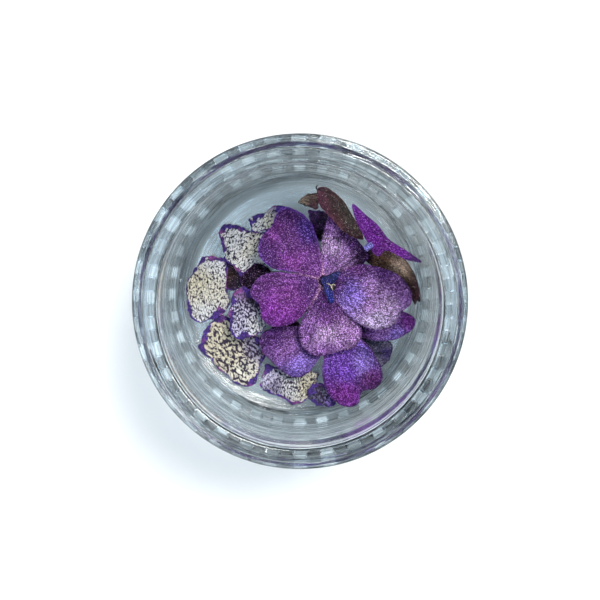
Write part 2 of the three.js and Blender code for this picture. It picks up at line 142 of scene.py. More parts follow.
def smooth_outline(points, centre):
    """Even points on a closed smooth curve through [degrees, distance] points round a centre."""
    knots = np.array([(centre[0] + r * math.cos(math.radians(a)), centre[1] + r * math.sin(math.radians(a)))
        for a, r in points])
    count = len(knots)
    dense = []
    for i in range(count):
        p0, p1, p2, p3 = (knots[(i + k) % count] for k in (-1, 0, 1, 2))
        t0 = 0.0
        spans = [max(1e-6, np.linalg.norm(b - a)) ** 0.5 for a, b in ((p0, p1), (p1, p2), (p2, p3))]
        t1, t2, t3 = np.cumsum(spans)
        for t in np.linspace(t1, t2, STEPS_BETWEEN_KNOTS, endpoint=False):
            a1 = (t1 - t) / (t1 - t0) * p0 + (t - t0) / (t1 - t0) * p1
            a2 = (t2 - t) / (t2 - t1) * p1 + (t - t1) / (t2 - t1) * p2
            a3 = (t3 - t) / (t3 - t2) * p2 + (t - t2) / (t3 - t2) * p3
            b1 = (t2 - t) / (t2 - t0) * a1 + (t - t0) / (t2 - t0) * a2
            b2 = (t3 - t) / (t3 - t1) * a2 + (t - t1) / (t3 - t1) * a3
            dense.append((t2 - t) / (t2 - t1) * b1 + (t - t1) / (t2 - t1) * b2)
    dense = np.array(dense + [dense[0]])
    walked = np.concatenate([[0], np.cumsum(np.linalg.norm(np.diff(dense, axis=0), axis=1))])
    stops = np.linspace(0, walked[-1], OUTLINE_STEPS, endpoint=False)
    return np.column_stack([np.interp(stops, walked, dense[:, k]) for k in (0, 1)])


def plain_petal(toward, length, half_angle):
    """The points of a plain petal from its claw at the centre: broad, round-ended, nicked at the tip."""
    points = [[toward - half_angle, CLAW]]
    for share in np.arange(-0.9, 0.91, 0.2):
        dent = 1 - TIP_NICK * math.exp(-((share / 0.18) ** 2))
        points.append([toward + half_angle * share, length * math.cos(share * math.pi / 2) ** 0.42 * dent])
    return points + [[toward + half_angle, CLAW]]


def glass_z(distance):
    """Height of the glass inside the jar: a flat floor, then the rounded heel."""
    into = np.clip(distance - (BORE_RADIUS - HEEL_FILLET), 0, HEEL_FILLET * 0.97)
    return FLOOR_Z + HEEL_FILLET - np.sqrt(HEEL_FILLET**2 - into**2)


def ripple(points, size, seed):
    """Smooth noise from about -1 to 1 at each point, with features of a given size in millimetres."""
    shift = Vector((seed * 7.31, seed * 3.17, seed * 1.93))
    return np.array([2 * noise.noise(Vector(tuple(p / size)) + shift) for p in points])


def place_in_scene(name, content):
    """A new object in the scene, made of a mesh, a lamp or a lens."""
    thing = bpy.data.objects.new(name, content)
    bpy.context.scene.collection.objects.link(thing)
    return thing


def hand_over(piece, node):
    """Says what a finished piece rides on, and hides the solid of the node it stands for."""
    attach(piece, "root")
    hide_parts(node)


class Piece:
    """Gathers sheets and stalks, with their painted attributes, into one mesh."""

    def __init__(self, name):
        self.name = name
        self.verts, self.faces, self.flats, self.tints = [], [], [], []
        self.painted = {"margin": [], "veining": [], "painted_glint": []}

    def add(self, verts, faces, tints, painted, flats):
        start = len(self.verts)
        self.verts += [tuple(v) for v in verts]
        self.faces += [tuple(start + i for i in face) for face in faces]
        self.tints += [(*t, 1.0) for t in tints]
        for label, values in self.painted.items():
            values += [float(v) for v in painted[label]]
        self.flats += [tuple(f) for f in flats]

    def add_plain(self, verts, faces, dye):
        """Adds a solid of one dye, with no margin and faint veins."""
        count = len(verts)
        painted = {"margin": [0.0] * count, "veining": [0.2] * count, "painted_glint": [0.3] * count}
        self.add(verts, faces, [DYE[dye]] * count, painted, [(v[0] * MM, v[2] * MM) for v in verts])

    def finish(self, material, node):
        """Makes the mesh, with its painted attributes and flat pattern, and puts it in a node's place."""
        mesh = bpy.data.meshes.new(self.name)
        mesh.from_pydata([tuple(c * MM for c in v) for v in self.verts], [], self.faces)
        mesh.attributes.new("tint", "FLOAT_COLOR", "POINT").data.foreach_set("color", np.ravel(self.tints))
        for label, values in self.painted.items():
            mesh.attributes.new(label, "FLOAT", "POINT").data.foreach_set("value", values)
        lay = mesh.uv_layers.new(name="flat")
        lay.data.foreach_set("uv", np.ravel([self.flats[loop.vertex_index] for loop in mesh.loops]))
        mesh.update()
        mesh.shade_smooth()
        mesh.set_sharp_from_angle(angle=math.radians(PETAL_CREASE))
        mesh.materials.append(material)
        hand_over(place_in_scene(self.name, mesh), node)


def rayed(eye):
    """Pattern coordinates of a petal in a floret: the distance from the eye, and the way round it."""

    def lay(plan, middle):
        toward = math.atan2(middle[1] - eye[1], middle[0] - eye[0])
        away = plan - np.array(eye[:2])
        turn = (np.arctan2(away[:, 1], away[:, 0]) - toward + math.pi) % (2 * math.pi) - math.pi
        return np.column_stack([np.hypot(away[:, 0], away[:, 1]), turn * 9]) * MM

    return lay


def turned(degrees, size=1.0):
    """Pattern coordinates of a loose petal: its plan, turned so that the grain runs along it."""
    c, s = math.cos(math.radians(degrees)), math.sin(math.radians(degrees))

    def lay(plan, middle):
        return (plan - middle) @ np.array([[c, -s], [s, c]]) * MM / size + np.array([middle]) * 2 * MM

    return lay


def sheet(piece, edge, place, paint, lay, seed, fray=0.0, crumple=0.1, ruffle=0.0, hub=None):
    """Adds a petal: rings from its middle to its edge on both faces. place(x, y, share) gives the height,
    paint the colours, margin and veins, and lay the pattern coordinates. fray roughens the outline, crumple
    makes the blade softly uneven, and ruffle curls its margin. A bent petal names a hub for its rings that
    sees its whole edge."""
    middle = edge.mean(axis=0) if hub is None else np.array(hub)
    around = len(edge)
    outward = (edge - middle) / np.linalg.norm(edge - middle, axis=1)[:, None]
    flat_edge = np.column_stack([edge, np.zeros(around)])
    ragged = fray * (0.8 * ripple(flat_edge, 0.55, seed) + ripple(flat_edge, 1.7, seed + 5))
    edge = edge + outward * ragged[:, None]
    shares = np.concatenate([[0.0], np.repeat(RING_SHARES, around)])
    plan = np.vstack([middle[None]] + [middle + (edge - middle) * share for share in RING_SHARES])
    heights = place(plan[:, 0], plan[:, 1], shares)
    points = np.column_stack([plan, heights])
    points[:, 2] += crumple * ripple(points, 3.2, seed) + 0.4 * crumple * ripple(points, 1.3, seed + 9)
    points[:, 2] += ruffle * shares**5 * (0.5 + ripple(points * [1, 1, 0], 1.5, seed + 13))
    upper = [(0, a, b) for a, b in round_steps(1, around, 1)]
    upper += [(a, a + around, b + around, b) for a, b in round_steps(len(RING_SHARES) - 1, around, 1)]
    normals = np.zeros_like(points)
    for face in upper:
        corners = points[list(face)]
        normal = np.cross(corners[1] - corners[0], corners[2] - corners[0])
        for corner in face:
            normals[corner] += normal
    normals /= np.linalg.norm(normals, axis=1)[:, None]
    half = PETAL_THICKNESS / 2 * (1 - 0.45 * shares**8)
    top, under = points + normals * half[:, None], points - normals * half[:, None]
    count = len(points)
    lower = [tuple(reversed([i + count for i in face])) for face in upper]
    rim = [(a, a + count, b + count, b) for a, b in round_steps(1, around, count - around)]
    colours, painted = paint(points, shares, middle)
    flats = lay(plan, middle)
    piece.add(
        np.vstack([top, under]),
        upper + lower + rim,
        np.vstack([colours, colours]),
        {label: np.concatenate([values, values]) for label, values in painted.items()},
        np.vstack([flats, flats]),
    )


def blend_dyes(points, spots):
    """Colours from spots [x, y, dye name]: each point takes the near spots' colours, the nearest most."""
    colours = np.array([DYE[name] for _, _, name in spots])
    places = np.array([[x, y] for x, y, _ in spots], float)
    gaps = np.linalg.norm(points[:, None, :2] - places[None], axis=2)
    weights = 1 / (gaps**2 + 0.8) ** 1.8
    return (weights[:, :, None] * colours[None]).sum(axis=1) / weights.sum(axis=1)[:, None]


def open_petal_paint(spots, veining=0.4, rim="deep violet", claw=None, width=0.1, painted_glint=0.5, seed=0):
    """A painter for an open petal: spots of dye, and a thin darker rim, partly the petal's own colour and
    partly painted shade where the edge falls away, that turns to a pink painted highlight towards the claw.
    """

    def paint(points, share, middle):
        colours = blend_dyes(points, spots)
        # The darker rim is partly the petal's own colour and partly painted shade where the edge falls away;
        # towards the claw it turns to a pink painted highlight.
        edge = np.clip((share + 0.03 * ripple(points, 1.6, seed + 3) - 1 + width) / width, 0, 1) ** 1.4
        rim_shade_and_highlight = np.tile(DYE[rim], (len(points), 1))
        # painted_glint sets how many painted glints a petal gets, with more near the claw.
        glints = np.full(len(points), painted_glint)
        if claw is not None:
            out = np.hypot(points[:, 0] - claw[0], points[:, 1] - claw[1])
            near = np.clip(1.2 - out / 6, 0, 1)[:, None]
            rim_shade_and_highlight = rim_shade_and_highlight * (1 - near) + np.array(DYE["pink edge highlight"]) * near
            glints = np.clip(1.9 - out / 5, 0.4, 1.5)
        strength = 0.85 * edge[:, None]
        painted = {"margin": edge, "veining": np.full(len(points), veining), "painted_glint": glints}
        return colours * (1 - strength) + rim_shade_and_highlight * strength, painted

    return paint


def bleached_paint(spots, tufts, dense=(), seed=0):
    """A painter for a bleached petal: pale inside, with the dye left in tufts [degrees, spread, width] of its
    margin, and its flecks dense near some places [x, y, reach]."""

    def paint(points, share, middle):
        colours = blend_dyes(points, spots)
        turn = np.degrees(np.arctan2(points[:, 1] - middle[1], points[:, 0] - middle[0]))
        width = np.full(len(points), 0.035)
        for degrees, breadth, wide in tufts:
            gap = (turn - degrees + 180) % 360 - 180
            width += wide * np.exp(-((gap / breadth) ** 2))
        width = width * (1 + 0.7 * ripple(points, 1.2, seed + 3))
        margin = np.clip((share - 1 + width) / 0.08 + 0.5, 0, 1)
        veins = np.ones(len(points))
        for x, y, reach in dense:
            veins += np.exp(-((points[:, 0] - x) ** 2 + (points[:, 1] - y) ** 2) / reach**2)
        return colours, {"margin": margin, "veining": veins, "painted_glint": np.full(len(points), 0.3)}

    return paint


def stalk(piece, knots, radii, dye, sides=12):
    """Adds a round stalk through a few points, from thick to thin, closed at both ends."""
    steps = 14
    knots = np.array(knots, float)
    rings = []
    for i in range(steps + 1):
        t = i / steps * (len(knots) - 1)
        k = min(int(t), len(knots) - 2)
        at = knots[k] + (knots[k + 1] - knots[k]) * (t - k)
        radius = radii[0] + (radii[1] - radii[0]) * i / steps
        along = knots[k + 1] - knots[k]
        along /= np.linalg.norm(along)
        first = np.cross([0.3, 0.9, 0.1], along)
        first /= np.linalg.norm(first)
        second = np.cross(along, first)
        for j in range(sides):
            angle = 2 * math.pi * j / sides
            rings.append(at + radius * (math.cos(angle) * first + math.sin(angle) * second))
    faces = [tuple(reversed(range(sides))), tuple(steps * sides + j for j in range(sides))]
    faces += [(a, b, b + sides, a + sides) for a, b in round_steps(steps, sides)]
    piece.add_plain(rings, faces, dye)


def bead(piece, centre, radii, dye, turn=0.0):
    """Adds a small closed egg shape, such as the disc of a calyx or a dried bud."""
    steps = 16
    verts = [(centre[0], centre[1], centre[2] - radii[2])]
    c, s = math.cos(turn), math.sin(turn)
    for i in range(1, steps // 2):
        rise = -math.pi / 2 + math.pi * i / (steps // 2)
        height = centre[2] + radii[2] * math.sin(rise)
        for j in range(steps):
            around = 2 * math.pi * j / steps
            x, y = radii[0] * math.cos(rise) * math.cos(around), radii[1] * math.cos(rise) * math.sin(around)
            verts.append((centre[0] + c * x - s * y, centre[1] + s * x + c * y, height))
    verts.append((centre[0], centre[1], centre[2] + radii[2]))
    piece.add_plain(verts, closed_faces(steps // 2 - 1, steps), dye)


# ------------------------------------------------------------------------------- shader helpers
class Nodes:
    """Adds nodes to a tree and joins them, so that a material reads from top to bottom."""

    def __init__(self, tree):
        self.tree = tree

    def add(self, kind, settings=None, **inputs):
        node = self.tree.nodes.new(kind)
        for key, value in (settings or {}).items():
            setattr(node, key, value)
        for key, value in inputs.items():
            self.feed(node.inputs[key.replace("_", " ")], value)
        return node

    def feed(self, socket, value):
        if isinstance(value, bpy.types.NodeSocket):
            self.tree.links.new(value, socket)
        else:
            socket.default_value = value

    def maths(self, operation, *values, clamp=False):
        node = self.tree.nodes.new("ShaderNodeMath")
        node.operation, node.use_clamp = operation, clamp
        for socket, value in zip(node.inputs, values):
            self.feed(socket, value)
        return node.outputs[0]

    def times(self, first, *others):
        for other in others:
            first = self.maths("MULTIPLY", first, other)
        return first

    def plus(self, first, second):
        return self.maths("ADD", first, second)

    def minus(self, first, second):
        return self.maths("SUBTRACT", first, second)

    def over(self, first, second):
        return self.maths("DIVIDE", first, second)

    def faded(self, value, mask, change):
        """A value where the mask is 0, and 1 + change times that where it is 1."""
        return self.times(value, self.maths("MULTIPLY_ADD", mask, change, 1.0))

    def noise(self, place, scale, detail=2.0):
        return self.add("ShaderNodeTexNoise", Vector=place, Scale=scale, Detail=detail).outputs[0]

    def painted(self, label, output="Fac"):
        return self.add("ShaderNodeAttribute", {"attribute_name": label}).outputs[output]

    def vectors(self, operation, *values, scale=None):
        node = self.tree.nodes.new("ShaderNodeVectorMath")
        node.operation = operation
        for socket, value in zip(node.inputs, values):
            self.feed(socket, value)
        if scale is not None:
            self.feed(node.inputs["Scale"], scale)
        return node.outputs[0]

    def ramp(self, value, low, high, to_low=0.0, to_high=1.0):
        """Goes smoothly from one value to the other between low and high, whichever of the two is larger."""
        node = self.tree.nodes.new("ShaderNodeMapRange")
        node.interpolation_type = "SMOOTHSTEP"
        for socket, given in zip(node.inputs, (value, low, high, to_low, to_high)):
            self.feed(socket, given)
        return node.outputs[0]

    def mix(self, share, first, second):
        node = self.tree.nodes.new("ShaderNodeMix")
        node.data_type = "RGBA"
        self.feed(node.inputs["Factor"], share)
        for socket, given in zip([s for s in node.inputs if s.type == "RGBA"], (first, second)):
            self.feed(socket, given)
        return [s for s in node.outputs if s.type == "RGBA"][0]


def new_group(name, inputs, outputs):
    """A shader node group with named sockets: inputs give their kind and value, outputs their kind."""
    tree = bpy.data.node_groups.new(name, "ShaderNodeTree")
    for label, (kind, value) in inputs.items():
        socket = tree.interface.new_socket(label, in_out="INPUT", socket_type=kind)
        if value is not None:
            socket.default_value = value
    for label, kind in outputs.items():
        tree.interface.new_socket(label, in_out="OUTPUT", socket_type=kind)
    nodes = Nodes(tree)
    return tree, nodes, nodes.add("NodeGroupInput").outputs, nodes.add("NodeGroupOutput").inputs


def new_material(name, **sockets):
    """A material's node helper, which also holds the material, and its shader with some constants set."""
    material = bpy.data.materials.new(name)
    material.use_nodes = True
    nodes = Nodes(material.node_tree)
    nodes.material = material
    shader = material.node_tree.nodes["Principled BSDF"]
    for label, value in sockets.items():
        shader.inputs[label.replace("_", " ")].default_value = value
    return nodes, shader


FLOAT, VECTOR = "NodeSocketFloat", "NodeSocketVector"
FLECK_DYE = srgb(30, 14, 44)
PETAL_GRAIN = 0.00018
CREAM_GRAIN = 0.0003
RING_DRIFT = 0.04
FINE_RINGS, BROAD_RINGS, STREAKS = 1300.0, 330.0, 2300.0
GLASS_SHADOW = (0.2, 0.21, 0.22, 1.0)


def velvet_grain_group():
    """The dry, velvety grain of a petal: bright specks on a darker ground, and a few painted glints that
    stand in for light caught by the dry petal.
    """
    tree, nodes, given, out = new_group(
        "velvet grain",
        {"Vector": (VECTOR, None), "Cell Size": (FLOAT, 0.0003), "Glint Share": (FLOAT, 0.06)},
        {"Grain": FLOAT, "Glint": FLOAT},
    )
    per_metre = nodes.over(1.0, given["Cell Size"])
    cells = nodes.add("ShaderNodeTexVoronoi", Vector=given["Vector"], Scale=per_metre).outputs
    per_cell = nodes.add("ShaderNodeSeparateColor", Color=cells["Color"]).outputs
    speck = nodes.ramp(cells["Distance"], 0.7, 0.25)
    nodes.feed(out["Grain"], nodes.times(nodes.maths("POWER", per_cell["Red"], 1.5), speck))
    # Painted glints: a few cells get a bright core, which is mixed into the colour as a painted highlight.
    chosen = nodes.maths("LESS_THAN", per_cell["Green"], given["Glint Share"])
    core = nodes.ramp(cells["Distance"], 0.36, 0.2)
    brightness = nodes.maths("MULTIPLY_ADD", per_cell["Blue"], 0.7, 0.3)
    nodes.feed(out["Glint"], nodes.times(chosen, core, brightness))
    return tree


def wandering_net(nodes, place, per_metre, wander_scale, reach):
    """The distance to the nearest line of a net whose lines wander by up to about half a reach."""
    scale = nodes.times(per_metre, wander_scale)
    wander = nodes.add("ShaderNodeTexNoise", Vector=place, Scale=scale, Detail=2.0)
    shift = nodes.vectors("SUBTRACT", wander.outputs["Color"], (0.5, 0.5, 0.5))
    moved = nodes.vectors("ADD", place, nodes.vectors("SCALE", shift, scale=reach))
    net = nodes.add("ShaderNodeTexVoronoi", {"feature": "DISTANCE_TO_EDGE"}, Vector=moved, Scale=per_metre)
    return net.outputs[0]


def dark_veins_group():
    """A net of fine dark wrinkles, drawn out along a petal."""
    tree, nodes, given, out = new_group(
        "dark veins",
        {"Vector": (VECTOR, None), "Mesh Width": (FLOAT, 0.00046), "Stretch": (FLOAT, 2.2)},
        {"Vein": FLOAT, "Height": FLOAT},
    )
    squeeze = nodes.add("ShaderNodeCombineXYZ", X=nodes.over(1.0, given["Stretch"]), Y=1.0, Z=1.0)
    drawn = nodes.vectors("MULTIPLY", given["Vector"], squeeze.outputs[0])
    per_metre = nodes.over(1.0, given["Mesh Width"])
    net = wandering_net(nodes, drawn, per_metre, 0.9, nodes.times(given["Mesh Width"], 1.2))
    patchy = nodes.noise(drawn, nodes.times(per_metre, 1.4))
    wide = nodes.ramp(patchy, 0.4, 0.56, 0.0, 0.2)
    nodes.feed(out["Vein"], nodes.times(nodes.ramp(net, wide, 0.0), nodes.ramp(wide, 0.02, 0.08)))
    nodes.feed(out["Height"], nodes.ramp(net, 0.0, 0.3))
    return tree


def crazing_group():
    """Short dark flecks between pale raised patches, as where the dye has dried back to broken lines."""
    tree, nodes, given, out = new_group(
        "crazed flecks",
        {"Vector": (VECTOR, None), "Patch Size": (FLOAT, 0.0007), "Width": (FLOAT, 0.1),
            "Broken": (FLOAT, 0.5)},
        {"Fleck": FLOAT, "Dome": FLOAT},
    )
    per_metre = nodes.over(1.0, given["Patch Size"])
    net = wandering_net(nodes, given["Vector"], per_metre, 1.1, nodes.times(given["Patch Size"], 1.5))
    patchy = nodes.noise(given["Vector"], nodes.times(per_metre, 1.5), 1.0)
    wide = nodes.times(given["Width"], nodes.ramp(patchy, given["Broken"], nodes.plus(given["Broken"], 0.16)))
    nodes.feed(out["Fleck"], nodes.ramp(nodes.minus(wide, net), 0.0, 0.035))
    nodes.feed(out["Dome"], nodes.ramp(net, 0.0, 0.3))
    return tree


def moulded_rings_and_shade_group():
    """What the mould leaves in pressed glass: fine rings on its level parts and broad soft ones on its
    upright walls. Its Painted Shade output darkens the glass in streaks, on the bore wall, under the foot,
    low in the floor, at the outer corners of the shoulder and foot, and at the heel."""
    tree, nodes, given, out = new_group(
        "moulded rings and painted shade",
        {"Vector": (VECTOR, None)},
        {"Height": FLOAT, "Painted Shade": FLOAT},
    )
    x, y, z = nodes.add("ShaderNodeSeparateXYZ", Vector=given["Vector"]).outputs
    across = nodes.maths("SQRT", nodes.plus(nodes.times(x, x), nodes.times(y, y)))
    ringed = nodes.add("ShaderNodeCombineXYZ", X=nodes.plus(across, z), Y=nodes.times(x, RING_DRIFT),
        Z=nodes.times(y, RING_DRIFT)).outputs[0]
    fine = nodes.noise(ringed, FINE_RINGS, 3.0)
    broad = nodes.noise(ringed, BROAD_RINGS, 1.0)
    streaks = nodes.noise(ringed, STREAKS, 4.0)
    normal = nodes.add("ShaderNodeNewGeometry").outputs["Normal"]
    level = nodes.maths("ABSOLUTE", nodes.add("ShaderNodeSeparateXYZ", Vector=normal).outputs["Z"])

    def past(place, low, high, to_low=0.0, to_high=1.0):
        """A ramp between two places on the jar, given in millimetres."""
        return nodes.ramp(place, low * MM, high * MM, to_low, to_high)

    heel_start, heel_top = BORE_RADIUS - HEEL_FILLET, FLOOR_Z + HEEL_FILLET
    outer_wall = nodes.times(past(across, BODY_RADIUS - 0.8, BODY_RADIUS - 0.3),
        past(z, SHOULDER_Z - 0.6, SHOULDER_Z - 1))
    bore_wall = nodes.times(past(across, NECK_RADIUS + 0.2, NECK_RADIUS),
        past(z, heel_top + 3.1, heel_top + 6.6))
    heel = nodes.times(past(across, heel_start - 0.2, heel_start + 1.2),
        past(across, BORE_RADIUS, BORE_RADIUS - 0.2), past(z, heel_top, heel_top - 0.9))
    shoulder_edge = past(z, SHOULDER_Z - 0.55, SHOULDER_Z - 0.3)
    foot_edge = past(z, PAD_HEIGHT + 0.6, PAD_HEIGHT + 0.3)
    painted_edge_shade = nodes.times(past(across, BODY_RADIUS - 0.5, BODY_RADIUS - 0.25),
        nodes.maths("MAXIMUM", shoulder_edge, foot_edge))

    on_level = nodes.times(fine, past(z, FLOOR_Z + 0.8, FLOOR_Z + 6.8, 0.35, 1.0))
    on_wall = nodes.maths("MULTIPLY_ADD", broad, 0.8, nodes.times(fine, 0.1))
    upright = nodes.maths("MAXIMUM", bore_wall, outer_wall)
    height = nodes.plus(on_level, nodes.times(upright, nodes.minus(on_wall, on_level)))
    nodes.feed(out["Height"], nodes.faded(height, heel, 2.0))

    # Painted shade: darker streaks on the level glass near the bore, broad dark rings on the bore wall, a
    # darker foot and low floor, darker outer corners at the shoulder and foot, and a darker heel.
    strength = nodes.times(nodes.ramp(level, 0.2, 0.8, 0.12, 0.62),
        past(across, BORE_RADIUS - 3.7, BORE_RADIUS - 1.7))
    tone_and_painted_shade = nodes.minus(1.0, nodes.times(strength, nodes.ramp(streaks, 0.54, 0.45)))
    tone_and_painted_shade = nodes.faded(tone_and_painted_shade, nodes.times(bore_wall, nodes.ramp(broad, 0.5, 0.42)), -0.3)
    tone_and_painted_shade = nodes.times(tone_and_painted_shade, past(z, PAD_HEIGHT + 0.1, PAD_HEIGHT + 0.8, 0.62, 0.84),
        past(z, 2, 6, 1.0, 1.2))
    nodes.feed(out["Painted Shade"], nodes.faded(nodes.faded(tone_and_painted_shade, painted_edge_shade, -0.65), heel, -0.25))
    return tree


GRAIN = velvet_grain_group()
VEINS = dark_veins_group()
CRAZING = crazing_group()
RINGS_AND_SHADE = moulded_rings_and_shade_group()


def petal_material(name, glint=0.05, roughness=0.6, sheen=0.02, gloss=0.04, shine=0.0, swing=2.7,
        bleach=(0.5, 0.34, 0.6), painted_glint_colour=(0.85, 0.66, 0.8)):
    """A dyed petal: the painted tint with fine rays, a net of dark veins, velvet grain and painted glints.
    Swing is how far the grain varies the tint. The brightest grains bleach towards one colour, and the
    painted glints, bright specks of painted highlight, towards another."""
    nodes, shader = new_material(name, Sheen_Weight=sheen, Sheen_Roughness=0.4,
        Sheen_Tint=(0.7, 0.6, 1.0, 1.0), Specular_IOR_Level=gloss)
    here = nodes.add("ShaderNodeTexCoord").outputs["Object"]
    flat = nodes.add("ShaderNodeUVMap", {"uv_map": "flat"}).outputs[0]
    specks = nodes.add("ShaderNodeGroup", {"node_tree": GRAIN}, Vector=here, Cell_Size=PETAL_GRAIN,
        Glint_Share=nodes.times(nodes.painted("painted_glint"), glint)).outputs
    veins = nodes.add("ShaderNodeGroup", {"node_tree": VEINS}, Vector=flat).outputs
    rays = nodes.noise(nodes.vectors("MULTIPLY", flat, (0.12, 1.0, 1.0)), 1500.0)
    cloudy = nodes.noise(here, 260.0, 3.0)
    dark = nodes.maths("MULTIPLY", veins["Vein"], nodes.times(nodes.painted("veining"), 0.95), clamp=True)
    plain = nodes.minus(1.0, dark)
    level = nodes.maths("MULTIPLY_ADD", specks["Grain"], swing, 0.88 - 0.18 * swing)
    level = nodes.times(level, nodes.ramp(cloudy, 0.3, 0.7, 0.82, 1.18))
    level = nodes.times(level, nodes.ramp(rays, 0.35, 0.65, 0.76, 1.24))
    colour = nodes.vectors("SCALE", nodes.painted("tint", "Color"), scale=nodes.times(level, plain))
    pale = nodes.times(nodes.ramp(specks["Grain"], 0.3, 1.0, 0.0, 0.3), plain)
    colour = nodes.mix(pale, colour, (*bleach, 1))
    # Painted glints: bright specks of painted highlight mixed into the colour.
    nodes.feed(shader.inputs["Base Color"], nodes.mix(specks["Glint"], colour, (*painted_glint_colour, 1)))
    dull = nodes.ramp(nodes.noise(here, 350.0), 0.35, 0.65, roughness, roughness - shine)
    nodes.feed(shader.inputs["Roughness"], dull)
    wrinkle = nodes.add("ShaderNodeBump", Strength=0.4, Distance=0.00012, Height=veins["Height"])
    bump = nodes.add("ShaderNodeBump", Strength=0.35, Distance=0.00008, Height=specks["Grain"],
        Normal=wrinkle.outputs[0])
    nodes.feed(shader.inputs["Normal"], bump.outputs[0])
    return nodes.material


def cream_material():
    """A bleached petal: ivory between dark flecks, with painted shade round its raised patches, and the dye
    left along its torn margin.
    """
    nodes, shader = new_material("bleached petal", Roughness=0.7, Sheen_Weight=0.1, Specular_IOR_Level=0.3)
    here = nodes.add("ShaderNodeTexCoord").outputs["Object"]
    flat = nodes.add("ShaderNodeUVMap", {"uv_map": "flat"}).outputs[0]
    drawn = nodes.vectors("MULTIPLY", flat, (1.5, 0.9, 1.0))
    margin, veining = nodes.painted("margin"), nodes.painted("veining")
    crazed, specks = (
        nodes.add("ShaderNodeGroup", {"node_tree": CRAZING}, Vector=drawn, Patch_Size=size,
            Width=nodes.times(veining, width), Broken=broken).outputs
        for size, width, broken in ((0.00098, 0.145, 0.43), (0.00056, 0.18, 0.54))
    )
    grain = nodes.add("ShaderNodeGroup", {"node_tree": GRAIN}, Vector=here, Cell_Size=CREAM_GRAIN,
        Glint_Share=0.02).outputs["Grain"]
    # Painted shade: each raised patch is darker towards its rim, where it falls away into the flecks.
    tone_and_painted_shade = nodes.ramp(crazed["Dome"], 0.0, 1.0, 0.72, 0.96)
    tone_and_painted_shade = nodes.times(tone_and_painted_shade, nodes.maths("MULTIPLY_ADD", grain, 0.25, 0.94))
    colour = nodes.vectors("SCALE", nodes.painted("tint", "Color"), scale=tone_and_painted_shade)
    dark = nodes.maths("MAXIMUM", crazed["Fleck"], specks["Fleck"])
    colour = nodes.mix(nodes.times(dark, 0.98), colour, (*FLECK_DYE, 1))
    torn = nodes.noise(nodes.vectors("MULTIPLY", flat, (1.6, 1.0, 1.0)), 1500.0, 3.0)
    reach = nodes.maths("MULTIPLY_ADD", nodes.minus(torn, 0.5), 2.0, margin)
    edge = nodes.times(nodes.ramp(reach, 0.46, 0.58), nodes.ramp(margin, 0.0, 0.15))
    patch = nodes.ramp(nodes.noise(here, 300.0, 3.0), 0.52, 0.66)
    dyed = nodes.mix(patch, (*DYE["indigo"], 1), (*DYE["pink margin"], 1))
    dyed = nodes.vectors("SCALE", dyed, scale=nodes.maths("MULTIPLY_ADD", grain, 1.6, 0.5))
    nodes.feed(shader.inputs["Base Color"], nodes.mix(edge, colour, dyed))
    height = nodes.minus(crazed["Dome"], nodes.times(dark, 0.6))
    bump = nodes.add("ShaderNodeBump", Strength=0.6, Distance=0.00018, Height=height)
    fine = nodes.add("ShaderNodeBump", Strength=0.3, Distance=0.00008, Height=grain, Normal=bump.outputs[0])
    nodes.feed(shader.inputs["Normal"], fine.outputs[0])
    return nodes.material


def glass_material(name, roughness, clearness, tint, with_painted_shade):
    """Pressed glass that lets part of a lamp's light through: with moulded rings and painted shade in
    streaks, or unevenly ground.
    """
    nodes, shader = new_material(name, Roughness=roughness, IOR=1.5, Transmission_Weight=clearness)
    here = nodes.add("ShaderNodeTexCoord").outputs["Object"]
    rings = nodes.add("ShaderNodeGroup", {"node_tree": RINGS_AND_SHADE}, Vector=here).outputs
    # The moulded glass is darkened by painted shade; the ground pads vary at random.
    tone_and_painted_shade = rings["Painted Shade"] if with_painted_shade else nodes.ramp(nodes.noise(here, 75.0, 1.0), 0.38, 0.6, 0.55, 1.15)
    nodes.feed(shader.inputs["Base Color"], nodes.vectors("SCALE", tint, scale=tone_and_painted_shade))
    bump = nodes.add("ShaderNodeBump", Strength=0.8, Distance=0.0004, Height=rings["Height"])
    nodes.feed(shader.inputs["Normal"], bump.outputs[0])
    through = nodes.add("ShaderNodeBsdfTransparent", Color=GLASS_SHADOW)
    lamps = nodes.add("ShaderNodeMixShader", Fac=nodes.add("ShaderNodeLightPath").outputs["Is Shadow Ray"])
    nodes.feed(lamps.inputs[1], shader.outputs[0])
    nodes.feed(lamps.inputs[2], through.outputs[0])
    nodes.feed(nodes.tree.nodes["Material Output"].inputs["Surface"], lamps.outputs[0])
    return nodes.material


# ------------------------------------------------------------------------------- jar
def arc(centre, radius, from_degrees, to_degrees, steps):
    """Points on a round corner of the section."""
    angles = np.radians(np.linspace(from_degrees, to_degrees, steps))
    return [(centre[0] + radius * math.cos(a), centre[1] + radius * math.sin(a)) for a in angles]


def run(start, end, steps):
    """Even points between two others on a straight part of the section, without its ends."""
    return [tuple(a + (b - a) * k / steps for a, b in zip(start, end)) for k in range(1, steps)]


